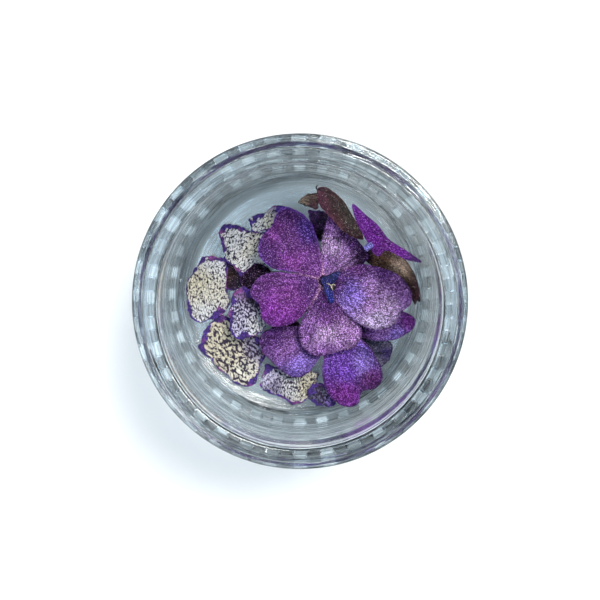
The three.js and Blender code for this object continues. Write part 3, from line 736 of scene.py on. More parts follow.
def jar_section():
    """Radius and height round the glass, from the middle of the underside to the middle of the floor."""
    heel, shoulder, lip, mouth = 0.15, 0.4, 0.35, 0.75
    under = [(0, 1.9), (4, 1.9), (9, 1.86), (14, 1.79), (18, 1.7), (21.5, 1.56), (23.4, 1.42)]
    under += [(24.2, 1.32), (24.6, 1.16), (24.9, 0.92), (25.15, 0.66), (25.4, PAD_HEIGHT)]
    under += run((25.4, PAD_HEIGHT), (BODY_RADIUS - heel, PAD_HEIGHT), 26)
    outside = arc((BODY_RADIUS - heel, PAD_HEIGHT + heel), heel, -90, 0, 5)
    outside += run((BODY_RADIUS, PAD_HEIGHT + heel), (BODY_RADIUS, SHOULDER_Z - shoulder), 12)
    outside += arc((BODY_RADIUS - shoulder, SHOULDER_Z - shoulder), shoulder, 0, 90, 8)
    outside += run((BODY_RADIUS - shoulder, SHOULDER_Z), (27.7, SHOULDER_Z), 3)
    outside += [(27.7, SHOULDER_Z), (NECK_RADIUS, SHOULDER_Z)]
    outside += run((NECK_RADIUS, SHOULDER_Z), (NECK_RADIUS, JAR_HEIGHT - lip), 46)
    top = arc((NECK_RADIUS - lip, JAR_HEIGHT - lip), lip, 0, 90, 6)
    top += arc((MOUTH_RADIUS + mouth, JAR_HEIGHT - mouth), mouth, 90, 180, 8)
    inside = run((MOUTH_RADIUS, JAR_HEIGHT - mouth), (MOUTH_RADIUS, SHOULDER_Z + 4), 6)
    inside += [(MOUTH_RADIUS, SHOULDER_Z + 4)]
    inside += [(24.36, 35.8), (24.55, 34.2), (24.8, 32.4), (25.05, 30.8), (BORE_RADIUS - 0.02, 29.6)]
    inside += run((BORE_RADIUS, 29), (BORE_RADIUS, FLOOR_Z + HEEL_FILLET), 8)
    inside += arc((BORE_RADIUS - HEEL_FILLET, FLOOR_Z + HEEL_FILLET), HEEL_FILLET, 0, -90, 16)
    inside += run((BORE_RADIUS - HEEL_FILLET, FLOOR_Z), (0, FLOOR_Z), 8) + [(0, FLOOR_Z)]
    return under + outside + top + inside


def turned_glass():
    """The jar's section turned about its axis as one closed mesh, fine enough to take the moulding."""
    section = jar_section()
    around = PAD_COUNT * 10
    verts = [(0, 0, section[0][1] * MM)]
    for radius, height in section[1:-1]:
        for j in range(around):
            angle = 2 * math.pi * j / around
            verts.append((radius * math.cos(angle) * MM, radius * math.sin(angle) * MM, height * MM))
    verts.append((0, 0, section[-1][1] * MM))
    mesh = bpy.data.meshes.new("glass_jar")
    mesh.from_pydata(verts, [], closed_faces(len(section) - 2, around))
    return mesh


def moulding_tree():
    """Raises the screw thread on the neck and the flat pads under the foot, and makes the wall uneven."""
    tree = bpy.data.node_groups.new("moulded thread and foot pads", "GeometryNodeTree")
    face = tree.interface
    face.new_socket("Geometry", in_out="INPUT", socket_type="NodeSocketGeometry")
    sizes = {
        "Neck Radius": NECK_RADIUS * MM,
        "Thread Start": THREAD_START_Z * MM,
        "Thread Pitch": THREAD_PITCH * MM,
        "Thread Turns": THREAD_TURNS,
        "Thread Depth": THREAD_DEPTH * MM,
        "Thread Half Width": 1.0 * MM,
        "Pad Count": float(PAD_COUNT),
        "Pad Height": PAD_HEIGHT * MM,
        "Pad Width": PAD_WIDTH * MM,
        "Pad Length": PAD_LENGTH * MM,
        "Pad Inner Radius": PAD_INNER_RADIUS * MM,
        "Unevenness": 0.05 * MM,
    }
    for label in sizes:
        face.new_socket(label, in_out="INPUT", socket_type="NodeSocketFloat")
    for label in ("Glass", "Ground Glass"):
        face.new_socket(label, in_out="INPUT", socket_type="NodeSocketMaterial")
    face.new_socket("Geometry", in_out="OUTPUT", socket_type="NodeSocketGeometry")
    nodes = Nodes(tree)
    given = nodes.add("NodeGroupInput").outputs
    here = nodes.add("GeometryNodeInputPosition").outputs[0]
    x, y, z = nodes.add("ShaderNodeSeparateXYZ", Vector=here).outputs
    radius = nodes.maths("SQRT", nodes.plus(nodes.times(x, x), nodes.times(y, y)))
    turn = nodes.maths("FRACT", nodes.over(nodes.maths("ARCTAN2", y, x), 2 * math.pi))

    climbed = nodes.over(nodes.minus(z, given["Thread Start"]), given["Thread Pitch"])
    lap = nodes.maths("MAXIMUM", nodes.maths("ROUND", nodes.minus(climbed, turn)), 0.0)
    wound = nodes.plus(lap, turn)
    off_crest = nodes.maths("ABSOLUTE", nodes.times(nodes.minus(climbed, wound), given["Thread Pitch"]))
    ridge = nodes.ramp(off_crest, given["Thread Half Width"], nodes.times(given["Thread Half Width"], 0.35))
    ends = nodes.times(nodes.ramp(wound, 0.0, 0.1),
        nodes.ramp(wound, given["Thread Turns"], nodes.minus(given["Thread Turns"], 0.1)))
    on_neck = nodes.maths("GREATER_THAN", radius, nodes.minus(given["Neck Radius"], 0.05 * MM))
    above = nodes.maths("GREATER_THAN", z, (SHOULDER_Z + 1.4) * MM)
    outward = nodes.times(ridge, ends, on_neck, above, given["Thread Depth"])

    passed = nodes.plus(nodes.times(turn, given["Pad Count"]), 0.5)
    cell = nodes.minus(nodes.maths("FRACT", passed), 0.5)
    pitch = nodes.over(nodes.times(radius, 2 * math.pi), given["Pad Count"])
    sideways = nodes.maths("ABSOLUTE", nodes.times(cell, pitch))
    half = nodes.times(given["Pad Width"], 0.5)
    in_cell = nodes.ramp(sideways, nodes.plus(half, 0.1 * MM), nodes.minus(half, 0.25 * MM))
    inner = nodes.ramp(radius, nodes.minus(given["Pad Inner Radius"], 0.1 * MM),
        nodes.plus(given["Pad Inner Radius"], 0.2 * MM))
    outer_radius = nodes.plus(given["Pad Inner Radius"], given["Pad Length"])
    outer = nodes.ramp(radius, nodes.plus(outer_radius, 0.4 * MM), nodes.plus(outer_radius, 0.2 * MM))
    low = nodes.ramp(z, 1.3 * MM, 0.75 * MM)
    drop = nodes.times(nodes.times(in_cell, low), nodes.times(inner, outer))
    drop = nodes.times(drop, given["Pad Height"])

    waves = nodes.add("ShaderNodeTexNoise", Scale=95.0, Detail=1.0).outputs[0]
    wall_only = nodes.ramp(z, 3.0 * MM, 8.0 * MM)
    inward = nodes.times(waves, given["Unevenness"], -1.0, wall_only)
    normal = nodes.add("GeometryNodeInputNormal").outputs[0]
    sway = nodes.vectors("SCALE", normal, scale=inward)

    per_radius = nodes.over(outward, nodes.maths("MAXIMUM", radius, 0.1 * MM))
    shove = nodes.add("ShaderNodeCombineXYZ", X=nodes.times(x, per_radius),
        Y=nodes.times(y, per_radius), Z=nodes.times(drop, -1.0))
    total = nodes.vectors("ADD", shove.outputs[0], sway)
    moved = nodes.add("GeometryNodeSetPosition", Geometry=given["Geometry"], Offset=total)
    real = nodes.add("GeometryNodeRealizeInstances", Geometry=moved.outputs[0])
    clear = nodes.add("GeometryNodeSetMaterial", Geometry=real.outputs[0], Material=given["Glass"])
    on_pad = nodes.maths("GREATER_THAN", drop, nodes.times(given["Pad Height"], 0.6))
    dressed = nodes.add("GeometryNodeSetMaterial", Geometry=clear.outputs[0], Selection=on_pad,
        Material=given["Ground Glass"])
    nodes.feed(nodes.add("NodeGroupOutput").inputs[0], dressed.outputs[0])
    return tree, sizes


def build_jar():
    """Turns the glass, moulds its thread and pads, and keeps the result as a plain mesh."""
    finishes = {
        "Glass": glass_material("clear pressed glass", 0.0, 1.0, (0.88, 0.96, 1.0), with_painted_shade=True),
        "Ground Glass": glass_material("ground foot pads", 0.4, 0.3, (0.86, 0.96, 1.0), with_painted_shade=False),
    }
    piece = place_in_scene("glass_jar", turned_glass())
    tree, sizes = moulding_tree()
    moulded = piece.modifiers.new("moulding", "NODES")
    moulded.node_group = tree
    given = {**sizes, **finishes}
    for item in tree.interface.items_tree:
        if item.in_out == "INPUT" and item.name in given:
            moulded[item.identifier] = given[item.name]
    seen = piece.evaluated_get(bpy.context.evaluated_depsgraph_get())
    mesh = bpy.data.meshes.new_from_object(seen)
    piece.modifiers.clear()
    piece.data = mesh
    mesh.name = piece.name
    mesh.shade_smooth()
    mesh.set_sharp_from_angle(angle=math.radians(GLASS_CREASE))
    hand_over(piece, "jar")


# ------------------------------------------------------------------------------- florets
MAIN_EYE = (4.6, 3.1, 14.6)
MAIN_PETALS = [
    {
        "edge": [[100, 1.2], [98, 6], [101, 9.6], [104, 11.8], [111, 14.3], [119, 16], [126, 15.5],
            [134, 14.4], [144, 14.6], [154, 14], [161, 12.6], [166, 10.2], [164, 6], [160, 1.2]],
        "rise": 0.3, "dome": 1.3, "droop": 1.4, "veining": 0.2, "rim": "bright violet",
        "dyes": [[-2.8, 15.8, "dark plum"], [-7, 9, "deep violet"], [-2.6, 10.9, "plum"],
            [1.8, 13, "blue rim"], [2.5, 6.7, "plum"], [-7.4, 6.4, "deep violet"], [-1, 6.5, "mulberry"],
            [-5.2, 12.6, "mulberry"]],
    },
    {
        "edge": [[165, 1.2], [166, 6], [171, 10.2], [178, 12.6], [186, 14], [192, 14.2], [199, 13.2],
            [205, 13.4], [212, 13.9], [220, 13.3], [228, 11.7], [235, 9.2], [240, 6], [244, 1.2]],
        "rise": 0.5, "dome": 1.2, "droop": 1.1, "veining": 0.2,
        "dyes": [[-3.6, 4.2, "plum"], [-8.9, 1.4, "plum"], [-5.8, -2.4, "magenta plum"],
            [-2.6, 0.4, "mulberry"], [2.5, 2.3, "deep violet"], [-2.6, -5.3, "magenta plum"]],
    },
    {
        "edge": [[245, 1.2], [242, 6], [241, 9], [245, 11.4], [251, 13], [258, 14.1], [266, 14.6],
            [275, 14.1], [284, 13.9], [293, 14.1], [302, 13.2], [308, 11.6], [307, 7], [300, 1.2]],
        "rise": -0.2, "dome": 1.2, "droop": 1.2, "veining": 0.7,
        "dyes": [[1.2, -6.2, "orchid"], [5, -7.2, "pale rose"], [5, -10.2, "orchid"],
            [9.7, -7.2, "dusty rose"], [5, -1.6, "deep violet"], [5, -4, "plum"]],
    },
    {
        "edge": [[300, 1.2], [302, 5.6], [307, 9.4], [314, 12.6], [322, 14.7], [331, 15.9], [339, 16.1],
            [345, 17], [351, 16.9], [358, 15.7], [5, 14], [14, 10.8], [26, 7.2], [36, 1.2]],
        "rise": 0.9, "dome": 1.2, "droop": 0.9, "veining": 0.75,
        # The pale lilac and pale rose spots on its lower right are partly the petal's paler colour and partly
        # painted sheen where it faces the light.
        "dyes": [[7.5, 2.6, "deep violet"], [9.4, 1.4, "violet blue"], [13.6, 1.4, "dusty rose"],
            [18.3, 2.2, "orchid"], [14.5, -4.1, "pale lilac"], [16.6, -1.5, "pale rose"],
            [20.2, 0.4, "orchid"], [11, 5.5, "plum"], [16, 4.4, "deep violet"], [11, 0, "lavender"],
            [13.4, -1.4, "dusty rose"]],
    },
    {
        "edge": [[36, 1.2], [22, 5], [23, 8.2], [29, 9.7], [39, 9.8], [53, 10.1], [69, 11.1], [79, 12.1],
            [85, 12.4], [88, 11.2], [92, 8.6], [98, 5], [98, 1.2]],
        "rise": -0.5, "dome": 0.9, "droop": 0.9, "veining": 0.9,
        # The dark plum, deep violet and night plum spots to the right, at (8.2, 11.8), (10, 10) and (12, 8),
        # are painted shadow from the brown petal that stands over this one.
        "dyes": [[5, 10.5, "pale rose"], [6.5, 9, "pale rose"], [8, 8, "dusty rose"], [5.4, 13, "orchid"],
            [8.2, 11.8, "dark plum"], [10, 10, "deep violet"], [12, 8, "night plum"], [5.6, 6.8, "orchid"],
            [6, 15, "deep violet"]],
    },
]

LOWER_EYE = (6.0, -6.5, 10.4)
LOWER_PETALS = [
    {
        "edge": [[172, 1.2], [174, 6], [178, 10], [182, 12.9], [188, 14], [198, 13.9], [209, 13.1],
            [220, 12.5], [230, 12], [237, 11.1], [243, 9], [248, 5.5], [250, 1.2]],
        "rise": 0, "dome": 1, "droop": 1.4, "veining": 0.5,
        # The dark plum spot at (2, -9) is painted shadow cast by the main floret's lowest petal.
        "dyes": [[-4.6, -8.1, "deep violet"], [-2.6, -10.4, "orchid"], [0.2, -13.6, "lavender"],
            [-0.3, -16, "violet blue"], [2, -9, "dark plum"]],
    },
    {
        "edge": [[352, 1.2], [346, 5], [337, 7.8], [329, 10], [322, 12.4], [315, 13.9], [307, 14.2],
            [299, 13.5], [295, 13.7], [290, 15.3], [284, 15.5], [277, 14.7], [269, 12.8], [261, 9.8],
            [255, 5.4], [252, 1.2]],
        "rise": 0.6, "dome": 1.1, "droop": 0.5, "veining": 0.6,
        # The violet blue spot at (12.8, -10.4) is a painted sheen.
        "dyes": [[8.9, -9.4, "bright violet"], [12.8, -10.4, "violet blue"], [8.9, -14.2, "bright violet"],
            [8.9, -19, "magenta plum"], [13.7, -15.8, "mulberry"], [12.2, -13, "lavender"]],
    },
    {
        "edge": [[345, 1.2], [345, 6.5], [346, 9.2], [351, 12.6], [357, 14.9], [2, 16.3], [7, 16.4],
            [12, 15.1], [17, 12.5], [22, 8], [25, 1.2]],
        "rise": -0.6, "dome": 1, "droop": 0.6, "veining": 0.5,
        "dyes": [[16.6, -5.9, "orchid"], [21, -5, "magenta plum"], [18.6, -7.5, "lavender"],
            [12, -6, "deep violet"]],
    },
    {
        "edge": plain_petal(100, 8, 40),
        "rise": -0.4, "dome": 0.8, "droop": 0.8,
        "dyes": [[6, -2, "night plum"]],
    },
]

# A floret under the others that holds them up; its near-black dye is painted shade that fills the gaps
# between the petals above.
UNDER_EYE = (-4.6, -1.6, 8.2)
UNDER_PETALS = [
    {"edge": plain_petal(196, 8, 40), "rise": 0.2, "dome": 0.5, "droop": 0.4,
        "dyes": [[-8, -3, "night plum"]]},
    {"edge": plain_petal(290, 11.4, 34), "rise": 0, "dome": 0.5, "droop": 1.4,
        "dyes": [[-4, -6, "aubergine"]]},
    {"edge": plain_petal(8, 7.6, 40), "rise": 0, "dome": 0.5, "droop": 1.2,
        "dyes": [[0, -1, "aubergine"]]},
    {"edge": plain_petal(130, 9.2, 42), "rise": 0.55, "dome": 0.4, "droop": 0.3,
        "dyes": [[-6, 3, "aubergine"]]},
]


def spread(piece, eye, petals, seed):
    """Adds petals round an eye: each rises or dips as a whole, is domed, and droops at its edge."""
    for number, petal in enumerate(petals):
        reach = max(distance for _, distance in petal["edge"])

        def place(x, y, share, petal=petal, reach=reach):
            out = np.hypot(x - eye[0], y - eye[1]) / reach
            lift = petal["rise"] * np.minimum(1, 2.5 * out)
            lift = lift + petal["dome"] * (1 - share**2) * np.minimum(1, 2 * out)
            return eye[2] + lift - petal["droop"] * out**3

        edge = smooth_outline(petal["edge"], eye)
        rim = petal.get("rim", "deep violet")
        paint = open_petal_paint(petal["dyes"], petal.get("veining", 0.4), rim, claw=eye, seed=seed + number)
        sheet(piece, edge, place, paint, rayed(eye), seed + number, fray=0.05, crumple=0.16)


def build_florets(petal):
    """The three florets that lie: each has its petals, its disc and a stalk down to the floor of the jar. The
    lowest is dyed near black, as painted shade in the gaps.
    """
    x, y, z = MAIN_EYE
    main = Piece("main_floret_petals")
    spread(main, MAIN_EYE, MAIN_PETALS, 11)
    bead(main, (x, y, z - 0.1), (1.2, 1.2, 0.7), "night plum")
    down = [(x, y, z), (x + 1, y + 0.9, z - 3), (x + 2.9, y + 2.4, FLOOR_Z + 0.5)]
    stalk(main, down, (0.7, 0.45), "plum")
    main.finish(petal, "main_floret")

    x, y, z = LOWER_EYE
    lower = Piece("lower_floret_petals")
    spread(lower, LOWER_EYE, LOWER_PETALS, 31)
    bead(lower, (x, y, z), (1.6, 1.6, 0.8), "dark plum")
    down = [(x, y, z), (x + 0.8, y - 0.4, z - 2), (x + 2.2, y - 1.4, FLOOR_Z + 0.5)]
    stalk(lower, down, (0.7, 0.45), "plum")
    lower.finish(petal, "lower_floret")

    x, y, z = UNDER_EYE
    under = Piece("under_floret_painted_shade")
    spread(under, UNDER_EYE, UNDER_PETALS, 51)
    bead(under, UNDER_EYE, (1.5, 1.5, 0.7), "aubergine")
    down = [(x, y, z), (x, y + 0.2, z - 1), (x + 0.1, y + 0.3, FLOOR_Z + SEAT_GAP)]
    stalk(under, down, (0.6, 0.45), "aubergine")
    under.finish(petal, "under_floret")


EYE_STAR = [[14, 1.7], [30, 2.5], [42, 2.9], [54, 2.3], [70, 1.6], [90, 1.4], [125, 1.3], [160, 1.3],
    [197, 1.0], [225, 1.0], [248, 1.6], [266, 2.6], [276, 3.8], [284, 4.1], [291, 3.6], [290, 2.2],
    [300, 1.0], [325, 1.0], [350, 1.0]]


def build_main_eye(petal):
    """The shrivelled navy calyx, with a dry bud in its hollow."""
    x, y, z = MAIN_EYE
    centre = (x + 0.6, y - 0.2)
    eye = Piece("main_floret_navy_eye")
    edge = smooth_outline(EYE_STAR, centre)

    def place(px, py, share):
        return z + 1.75 + 0.3 * (1 - share) - 0.1 * np.hypot(px - centre[0], py - centre[1])

    paint = open_petal_paint([[x + 1, y, "navy"], [x + 1.2, y - 2.6, "stalk navy"]], rim="aubergine", seed=5)
    sheet(eye, edge, place, paint, rayed(MAIN_EYE), 5, fray=0.12, crumple=0.3)
    bead(eye, (x + 1.5, y - 1, z + 1.85), (0.8, 0.6, 0.3), "aubergine", turn=-0.5)
    bead(eye, (x + 1.35, y - 0.85, z + 2.05), (0.34, 0.2, 0.26), "bud", turn=-0.8)
    for bend, end in [((0.35, 0.35), (0.8, 0.1)), ((0.1, -0.35), (0.3, -0.75)), ((-0.3, 0.25), (-0.7, 0.45))]:
        fold = [(x + 1.3, y - 0.85, z + 2.25), (x + 1.3 + bend[0], y - 0.85 + bend[1], z + 2.4),
            (x + 1.3 + end[0], y - 0.85 + end[1], z + 2.1)]
        stalk(eye, fold, (0.1, 0.07), "straw", sides=6)
    eye.finish(petal, "main_floret_eye")


# ------------------------------------------------------------------------------- petals on edge at the wall
WALL_EYE = (13.0, 10.0, 13.9)
WALL_PETALS = {
    "violet": {
        "centre": (15.2, 10.2),
        "edge": [[126, 9.2], [118, 6], [102, 3.6], [72, 1.9], [10, 2.1], [347, 4.4], [338, 7.2],
            [335.6, 8.2], [332, 6.9], [328, 5.6], [326, 3.9], [322, 2.4], [300, 1.6], [270, 2.3],
            [255, 2.5], [230, 2.1], [185, 2.1], [150, 3.9], [136, 6.6]],
        "painted_glint": 2.0, "height": 19.2, "at": (16, 11.4), "uphill": 50, "steepness": 1, "along": 0.05,
        "hollow": 0.06,
        "dyes": [[11, 15.5, "vivid violet"], [14, 11.6, "vivid violet"], [14.6, 8.6, "vivid violet"],
            [13, 13, "vivid violet"], [16.5, 10.8, "magenta plum"], [19, 9, "vivid violet"],
            [22, 7, "deep violet"]],
    },
    "brown": {
        "centre": (7.5, 15.9),
        "edge": [[125, 6.1], [132, 6.3], [147, 5], [159, 3.9], [174, 2.7], [224, 1.7], [276, 3], [297, 4.8],
            [307, 6.1], [313, 6.6], [317, 6], [324, 4.6], [337, 3.2], [2, 2.2], [44, 2], [83, 2.8],
            [106, 4.2], [117, 5.4]],
        "painted_glint": 1.0, "height": 16.3, "at": (8, 15.8), "uphill": 42, "steepness": 0.4, "along": -0.1,
        "hollow": 0.08,
        # The olive grey spots along its middle are a painted sheen.
        "dyes": [[4, 19.4, "dry mauve"], [4.4, 17, "dry mauve"], [5.8, 15.4, "dry mauve"],
            [7.4, 13.9, "rosewood"], [6.6, 18.4, "bark"], [8.4, 17, "olive grey"], [8.9, 15, "olive grey"],
            [6.6, 16.6, "bark"], [10.4, 13.4, "olive brown"], [9.2, 12.6, "maroon"], [8, 15.2, "bark"],
            [12, 11, "maroon"], [5.2, 20.4, "bark"]],
    },
    "dark": {
        "centre": (18.5, 5.5), "hub": (20.3, 4.7),
        "edge": [[153, 6.8], [142, 5.9], [130, 4.7], [108, 3.6], [86, 2.9], [51, 2.2], [5, 2.5], [334, 3.9],
            [317, 5.8], [307.5, 7.5], [304.5, 7.9], [302.5, 7.3], [298, 8], [296, 6.6], [296.5, 5.1],
            [292, 3.2], [259, 1.5], [201, 2], [183, 3.4], [173, 4.9], [164, 6.3]],
        "height": 13.6, "at": (18.5, 5.5), "uphill": 44, "steepness": 0.75, "along": 0.03, "hollow": -0.04,
        # Its browns are its own colour, but its left side is painted lighter, gold brown with pale tan
        # highlights, and its right side darker, bark and maroon: painted light and painted shade.
        "dyes": [[12.9, 7.4, "aubergine"], [15.4, 7.4, "gold brown"], [17, 6.3, "gold brown"],
            [16.4, 7.6, "bark"], [18.5, 7.4, "olive brown"], [19, 5.6, "pale tan"], [19.3, 4.3, "tan"],
            [21.2, 6.4, "bark"], [21.6, 4.4, "bark"], [22, 2.4, "maroon"], [22.8, 0, "maroon"],
            [20.6, 1.8, "maroon"], [18.2, 6.4, "pale tan"], [19.8, 5, "pale tan"]],
    },
}


def lean(shape):
    """Height of a petal that stands on edge: it climbs uphill and may be hollow."""
    across = (math.cos(math.radians(shape["uphill"])), math.sin(math.radians(shape["uphill"])))

    def place(x, y, share):
        up = (x - shape["at"][0]) * across[0] + (y - shape["at"][1]) * across[1]
        far = (x - shape["at"][0]) * across[1] - (y - shape["at"][1]) * across[0]
        return shape["height"] + shape["steepness"] * up + shape["along"] * far - shape["hollow"] * up**2

    return place


def wall_sheet(piece, shape, rim, seed):
    """Adds a petal that leans on the wall."""
    edge = smooth_outline(shape["edge"], shape["centre"])
    paint = open_petal_paint(shape["dyes"], 0.5, rim=rim, painted_glint=shape.get("painted_glint", 0.5), seed=seed)
    lay = turned(shape["uphill"] + 90)
    sheet(piece, edge, lean(shape), paint, lay, seed, fray=0.06, crumple=0.2, hub=shape.get("hub"))


def build_wall_floret(petal, dry):
    """The folded violet petal with its stalk stub, and the two dry petals that stand beside it."""
    x, y, z = WALL_EYE
    violet = Piece("wall_floret_petal")
    wall_sheet(violet, WALL_PETALS["violet"], "deep violet", 71)
    stub = [(x + 1.3, y + 0.6, z + 1.6), (x + 0.4, y, z + 2.3), (x - 0.6, y - 0.8, z + 2.8)]
    stalk(violet, stub, (0.8, 0.62), "stalk blue", sides=5)
    bead(violet, (x + 1, y, z + 1), (1.2, 1.2, 1), "deep violet")
    violet.finish(petal, "wall_floret")
    brown = Piece("wall_brown_petal_blade")
    wall_sheet(brown, WALL_PETALS["brown"], "rosewood", 72)
    tail = [(4, 20.2, 17.6), (3.1, 20.5, 17.8), (3, 20.9, 18), (3.4, 21.2, 18.1)]
    stalk(brown, tail, (0.17, 0.1), "aubergine")
    brown.finish(dry, "wall_brown_petal")
    dark = Piece("wall_dark_petal_blade")
    wall_sheet(dark, WALL_PETALS["dark"], "aubergine", 73)
    dark.finish(dry, "wall_dark_petal")


# ------------------------------------------------------------------------------- loose petals
LOOSE_PETALS = {
    "cream_petal_top": {
        "centre": (-7.1, 14.3), "lift": 2.4, "slope": (0.06, 0.02), "dome": 0.5,
        "edge": [[175, 3.1], [135, 2], [95, 1.8], [62, 2.8], [48, 4.2], [34, 5.3], [5, 5.4], [340, 4.6],
            [310, 2.6], [270, 1.8], [225, 2.8]],
        "grain": -30, "mesh": 0.9, "tufts": [[155, 30, 0.34], [262, 28, 0.16], [52, 20, 0.34]],
        "dyes": [[-8, 14, "chalk"], [-6, 14.5, "ivory"], [-4.6, 17.2, "grey lilac"]],
    },
    "cream_petal_upper": {
        "centre": (-10.9, 9.2), "lift": 1.1, "slope": (0.02, 0), "dome": 0.6,
        "edge": [[150, 5.7], [138, 6], [122, 5.5], [100, 4.4], [75, 3.7], [52, 3.7], [36, 5.2], [15, 6],
            [345, 5.6], [318, 5], [290, 4.8], [266, 5.6], [252, 4.6], [220, 4], [190, 4], [168, 4.6]],
        "grain": -40, "tufts": [[112, 26, 0.12], [152, 16, 0.12], [185, 14, 0.08], [262, 14, 0.12]],
        "dyes": [[-12, 10, "chalk"], [-9, 6, "chalk"], [-10, 9, "ivory"]],
    },
    "cream_petal_left": {
        "centre": (-18, 1.2), "lift": 1.0, "slope": (0.16, 0), "dome": 0.6,
        "edge": [[97, 6.4], [80, 6.6], [60, 6.5], [45, 5.4], [20, 3.9], [350, 3.9], [325, 5.2], [302, 5.5],
            [280, 5.9], [258, 6.8], [238, 6.2], [215, 5], [180, 4.2], [148, 4.2], [122, 4.9], [108, 5.6]],
        "mesh": 0.85, "tufts": [[95, 35, 0.12], [215, 25, 0.1], [292, 20, 0.2], [20, 30, 0.06]],
        "dyes": [[-18, 1, "ivory"], [-16, 6, "chalk"], [-19, 2, "straw"], [-18, -4, "chalk"]],
    },
    "cream_petal_inner": {
        "centre": (-10.8, -3.7), "lift": 4.2, "slope": (-0.08, 0.04), "dome": 0.5,
        "edge": [[106, 5.1], [90, 5.5], [72, 4.9], [40, 3.4], [5, 3.6], [332, 4.6], [305, 4.4], [275, 4.5],
            [250, 4.9], [225, 3.8], [190, 2.8], [155, 3], [125, 4.2]],
        "mesh": 0.8, "tufts": [[160, 30, 0.2], [205, 20, 0.12], [262, 20, 0.16], [95, 30, 0.3]],
        # The bark spot at (-9, 0) and the dense flecks round (-9, -0.5) are painted shade in the dark hollow
        # beside this petal.
        "dense": [[-9, -0.5, 2.4], [-12, -4, 2], [-10, -3, 3]],
        "dyes": [[-11, -3, "lilac white"], [-9, -6, "chalk"], [-11, -7, "lilac white"], [-9, 0, "bark"],
            [-10.5, 1.2, "orchid"]],
    },
    "cream_petal_lower_left": {
        "centre": (-13.6, -11.5), "lift": 0, "dome": 0.5,
        "edge": [[100, 7.6], [118, 7.3], [135, 6.8], [153, 6.5], [168, 6.8], [183, 5.2], [205, 3.9],
            [235, 3.8], [260, 4.4], [280, 6.2], [297, 7.4], [312, 7.3], [325, 6.7], [340, 6.1], [355, 6.8],
            [10, 6.9], [30, 6.1], [55, 5.2], [78, 6.2]],
        "grain": 30, "mesh": 1.15, "tufts": [[172, 12, 0.16], [150, 10, 0.14], [110, 8, 0.12],
            [92, 8, 0.16], [300, 22, 0.08], [10, 25, 0.1]], "dense": [[-9, -10, 2.6], [-13, -12, 5]],
        "dyes": [[-15, -9, "straw"], [-13, -12, "straw"], [-11, -15, "ivory"], [-9, -10.5, "grey lilac"]],
    },
    "cream_petal_bottom": {
        "centre": (-2.3, -18.2), "lift": 0.1, "slope": (0, 0.02), "dome": 0.5,
        "edge": [[133, 6.2], [122, 4.6], [95, 2.9], [60, 2.6], [42, 3.8], [34, 5.6], [24, 6.6], [8, 5.6],
            [345, 4.4], [318, 4.1], [290, 3.6], [262, 2.9], [228, 2.6], [200, 3.6], [182, 5.2], [160, 5.6]],
        "mesh": 0.75, "tufts": [[140, 12, 0.2], [200, 20, 0.1], [232, 14, 0.12], [280, 30, 0.08]],
        "dense": [[-2, -17.5, 3]],
        "dyes": [[-6, -16, "lilac white"], [-2, -18, "chalk"], [1, -18, "straw"], [-5, -18, "grey lilac"]],
    },
    "dark_petal_left": {
        "slot": "dark_plum_petal", "centre": (-13.6, 4.4), "lift": 0, "dome": 0.1, "wave": 0.05,
        "edge": [[100, 3.4], [60, 3], [20, 3.2], [330, 3.4], [290, 3.6], [240, 3.2], [180, 2.4],
            [140, 2.8]],
        "rim": "indigo",
        "dyes": [[-13.6, 4.4, "bark"], [-14.5, 6.8, "indigo"], [-12, 2, "night plum"]],
    },
    "slate_petal_right": {
        "slot": "slate_petal", "centre": (15.1, -11), "lift": 0.1, "slope": (0.02, 0.1), "dome": 0.5,
        "edge": [[140, 4], [100, 3.2], [60, 3], [20, 3.2], [340, 2.9], [310, 3], [280, 3.2], [240, 2.4],
            [180, 2.8]],
        "dyes": [[15, -11, "slate"], [17, -11, "blue rim"], [17, -9.5, "grey lilac"], [13, -10, "slate"],
            [14.5, -13, "grey lilac"]],
        "rim": "dark plum",
    },
    "slate_scrap_bottom": {
        "slot": "slate_petal", "centre": (4.6, -19.6), "lift": 1.2, "slope": (0.05, 0.1), "dome": 0.7,
        "edge": [[140, 3], [105, 2.6], [70, 1.8], [20, 2], [340, 2.8], [300, 2.6], [260, 2.1], [215, 2.6],
            [180, 3]],
        "mesh": 0.8, "tufts": [[140, 30, 0.5], [215, 20, 0.3], [260, 20, 0.16], [330, 20, 0.3],
            [60, 30, 0.2]], "dense": [[4.6, -19.5, 3]],
        "dyes": [[4.6, -19, "grey lilac"], [3, -20, "slate"], [6, -20, "lavender"], [4, -18, "night plum"]],
    },
    "tucked_petal": {
        "slot": "dark_plum_petal", "centre": (4.3, 13.4), "lift": 0.2, "slope": (0, 0.06), "dome": 0.5,
        "edge": [[129, 4.2], [119, 3.7], [107, 3.1], [88, 2.9], [64, 3.2], [40, 3], [5, 2.4], [300, 2.6],
            [262, 3], [240, 2.5], [205, 2], [165, 2.1], [143, 3.1]],
        "rim": "violet line",
        "dyes": [[3.6, 14, "dark plum"], [5, 15, "night plum"], [3.2, 15.2, "deep violet"],
            [4, 11.6, "aubergine"]],
    },
    "curled_petal": {
        "slot": "taupe_petal", "centre": (1.8, 18.4), "lift": 0, "slope": (0, -0.02), "dome": 0.1,
        "wave": 0.1,
        "edge": [[185, 2.2], [150, 1.5], [104, 1.3], [62, 1.7], [40, 2.3], [10, 1.8], [330, 1.9],
            [314, 2.2], [292, 1.4], [225, 1.1]],
        "rim": "aubergine", "width": 0.2,
        "dyes": [[0.8, 18.3, "pale tan"], [2.6, 19, "taupe"], [2.6, 17.8, "dry mauve"]],
    },
}


